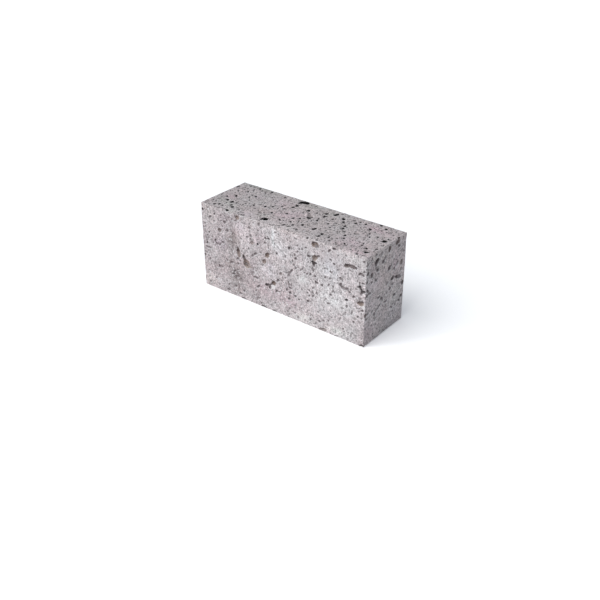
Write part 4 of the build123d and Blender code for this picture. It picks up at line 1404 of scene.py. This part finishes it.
class StudioLight(bpy.types.PropertyGroup):
    """Camera and light of the stage."""

    camera_place: FloatVectorProperty(
        name="Camera place", description="Where the camera stands", unit="LENGTH",
        default=(0.459997, -0.593048, 0.439227))
    camera_azimuth: FloatProperty(
        name="Azimuth", description="How far right of the front the camera stands", subtype="ANGLE",
        default=math.radians(37.8025))
    camera_elevation: FloatProperty(
        name="Elevation", description="How far the camera looks down", subtype="ANGLE",
        default=math.radians(30.3301))
    lens: FloatProperty(name="Lens", description="Focal length in millimetres", default=48.64)
    key_direction: FloatVectorProperty(
        name="Key direction", description="From the brick to the key light", subtype="XYZ",
        default=(-0.22, -0.53, 0.79))
    key_strength: FloatProperty(name="Key strength", description="Strength of the key light", default=1.16)
    key_angle: FloatProperty(
        name="Key width", description="Apparent width of the key light", subtype="ANGLE",
        default=math.radians(48))
    fill_direction: FloatVectorProperty(
        name="Fill direction", description="From the brick to the low light before it", subtype="XYZ",
        default=(-0.60, -0.79, 0.12))
    fill_strength: FloatProperty(name="Fill strength", description="Strength of the low light", default=1.04)
    fill_angle: FloatProperty(
        name="Fill width", description="Apparent width of the low light", subtype="ANGLE",
        default=math.radians(12))
    sky_strength: FloatProperty(name="Sky strength", description="Even light from all round", default=0.39)
    sky_colour: FloatVectorProperty(
        name="Sky colour", description="Tint of the even light", default=(0.885, 0.93, 1.0), subtype="COLOR")
    floor_colour: FloatVectorProperty(
        name="Floor colour", description="Colour of the floor", default=(0.86, 0.86, 0.86), subtype="COLOR")
    floor_shown: FloatVectorProperty(
        name="Shown floor", description="Colour of the floor to the camera", default=(1.645, 1.645, 1.637),
        subtype="COLOR", max=4.0)
    floor_size: FloatProperty(name="Floor size", description="Side of the floor", default=30.0, unit="LENGTH")


class PAVING_OT_press_brick(bpy.types.Operator):
    """Makes the brick's weathered skin in place of the plain block"""

    bl_idname = "paving.press_brick"
    bl_label = "Press Brick"

    def execute(self, context):
        points, quads, sheet, values = brick_mesh(context.scene.brick_shape)
        piece = mesh_object(BRICK_PIECE, points, quads, sheet, values)
        piece.data.materials.append(concrete_material(context.scene.concrete_finish))
        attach(piece, "root")
        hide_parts(BRICK_NODE)
        return {"FINISHED"}


class PAVING_OT_set_stage(bpy.types.Operator):
    """Sets the floor, light and camera round the brick"""

    bl_idname = "paving.set_stage"
    bl_label = "Set Stage"

    def execute(self, context):
        scene = context.scene
        light = scene.studio_light
        self.lay_floor(scene, light)
        scene.world = studio_world(light)
        self.hang_lamp(scene, "key_light", light.key_direction, light.key_strength, light.key_angle)
        self.hang_lamp(scene, "fill_light", light.fill_direction, light.fill_strength, light.fill_angle)
        self.place_camera(scene, light)
        scene.view_settings.view_transform = "Standard"
        return {"FINISHED"}

    def lay_floor(self, scene, light):
        reach = light.floor_size / 2
        mesh = bpy.data.meshes.new("floor")
        corners = [(-reach, -reach, 0), (reach, -reach, 0), (reach, reach, 0), (-reach, reach, 0)]
        mesh.from_pydata(corners, [], [(0, 1, 2, 3)])
        mesh.materials.append(floor_material(light))
        floor = bpy.data.objects.new("floor", mesh)
        scene.collection.objects.link(floor)

    def hang_lamp(self, scene, name, direction, strength, angle):
        lamp = bpy.data.lights.new(name, "SUN")
        lamp.energy = strength
        lamp.angle = angle
        hung = bpy.data.objects.new(name, lamp)
        hung.rotation_euler = Vector(direction).to_track_quat("Z", "Y").to_euler()
        scene.collection.objects.link(hung)

    def place_camera(self, scene, light):
        lens = bpy.data.cameras.new("camera")
        lens.lens = light.lens
        lens.clip_start = 0.01
        camera = bpy.data.objects.new("camera", lens)
        camera.location = light.camera_place
        level = math.cos(light.camera_elevation)
        back = Vector((
            math.sin(light.camera_azimuth) * level,
            -math.cos(light.camera_azimuth) * level,
            math.sin(light.camera_elevation),
        ))
        camera.rotation_euler = back.to_track_quat("Z", "Y").to_euler()
        scene.collection.objects.link(camera)
        scene.camera = camera


class PAVING_PT_panel(bpy.types.Panel):
    """Lists the brick's settings and steps"""

    bl_idname = "PAVING_PT_panel"
    bl_label = "Paving Brick"
    bl_space_type = "VIEW_3D"
    bl_region_type = "UI"
    bl_category = "Paving"

    def draw(self, context):
        scene = context.scene
        for settings in (scene.brick_shape, scene.concrete_finish, scene.studio_light):
            box = self.layout.box()
            for name in settings.__annotations__:
                box.prop(settings, name)
        self.layout.operator(PAVING_OT_press_brick.bl_idname)
        self.layout.operator(PAVING_OT_set_stage.bl_idname)


CLASSES = (
    BrickShape,
    ConcreteFinish,
    StudioLight,
    PAVING_OT_press_brick,
    PAVING_OT_set_stage,
    PAVING_PT_panel,
)


def register():
    for made in CLASSES:
        bpy.utils.register_class(made)
    bpy.types.Scene.brick_shape = PointerProperty(type=BrickShape)
    bpy.types.Scene.concrete_finish = PointerProperty(type=ConcreteFinish)
    bpy.types.Scene.studio_light = PointerProperty(type=StudioLight)


def unregister():
    del bpy.types.Scene.studio_light
    del bpy.types.Scene.concrete_finish
    del bpy.types.Scene.brick_shape
    for made in reversed(CLASSES):
        bpy.utils.unregister_class(made)


def main():
    register()
    bpy.ops.paving.press_brick()
    bpy.ops.paving.set_stage()


if __name__ == "__main__":
    main()
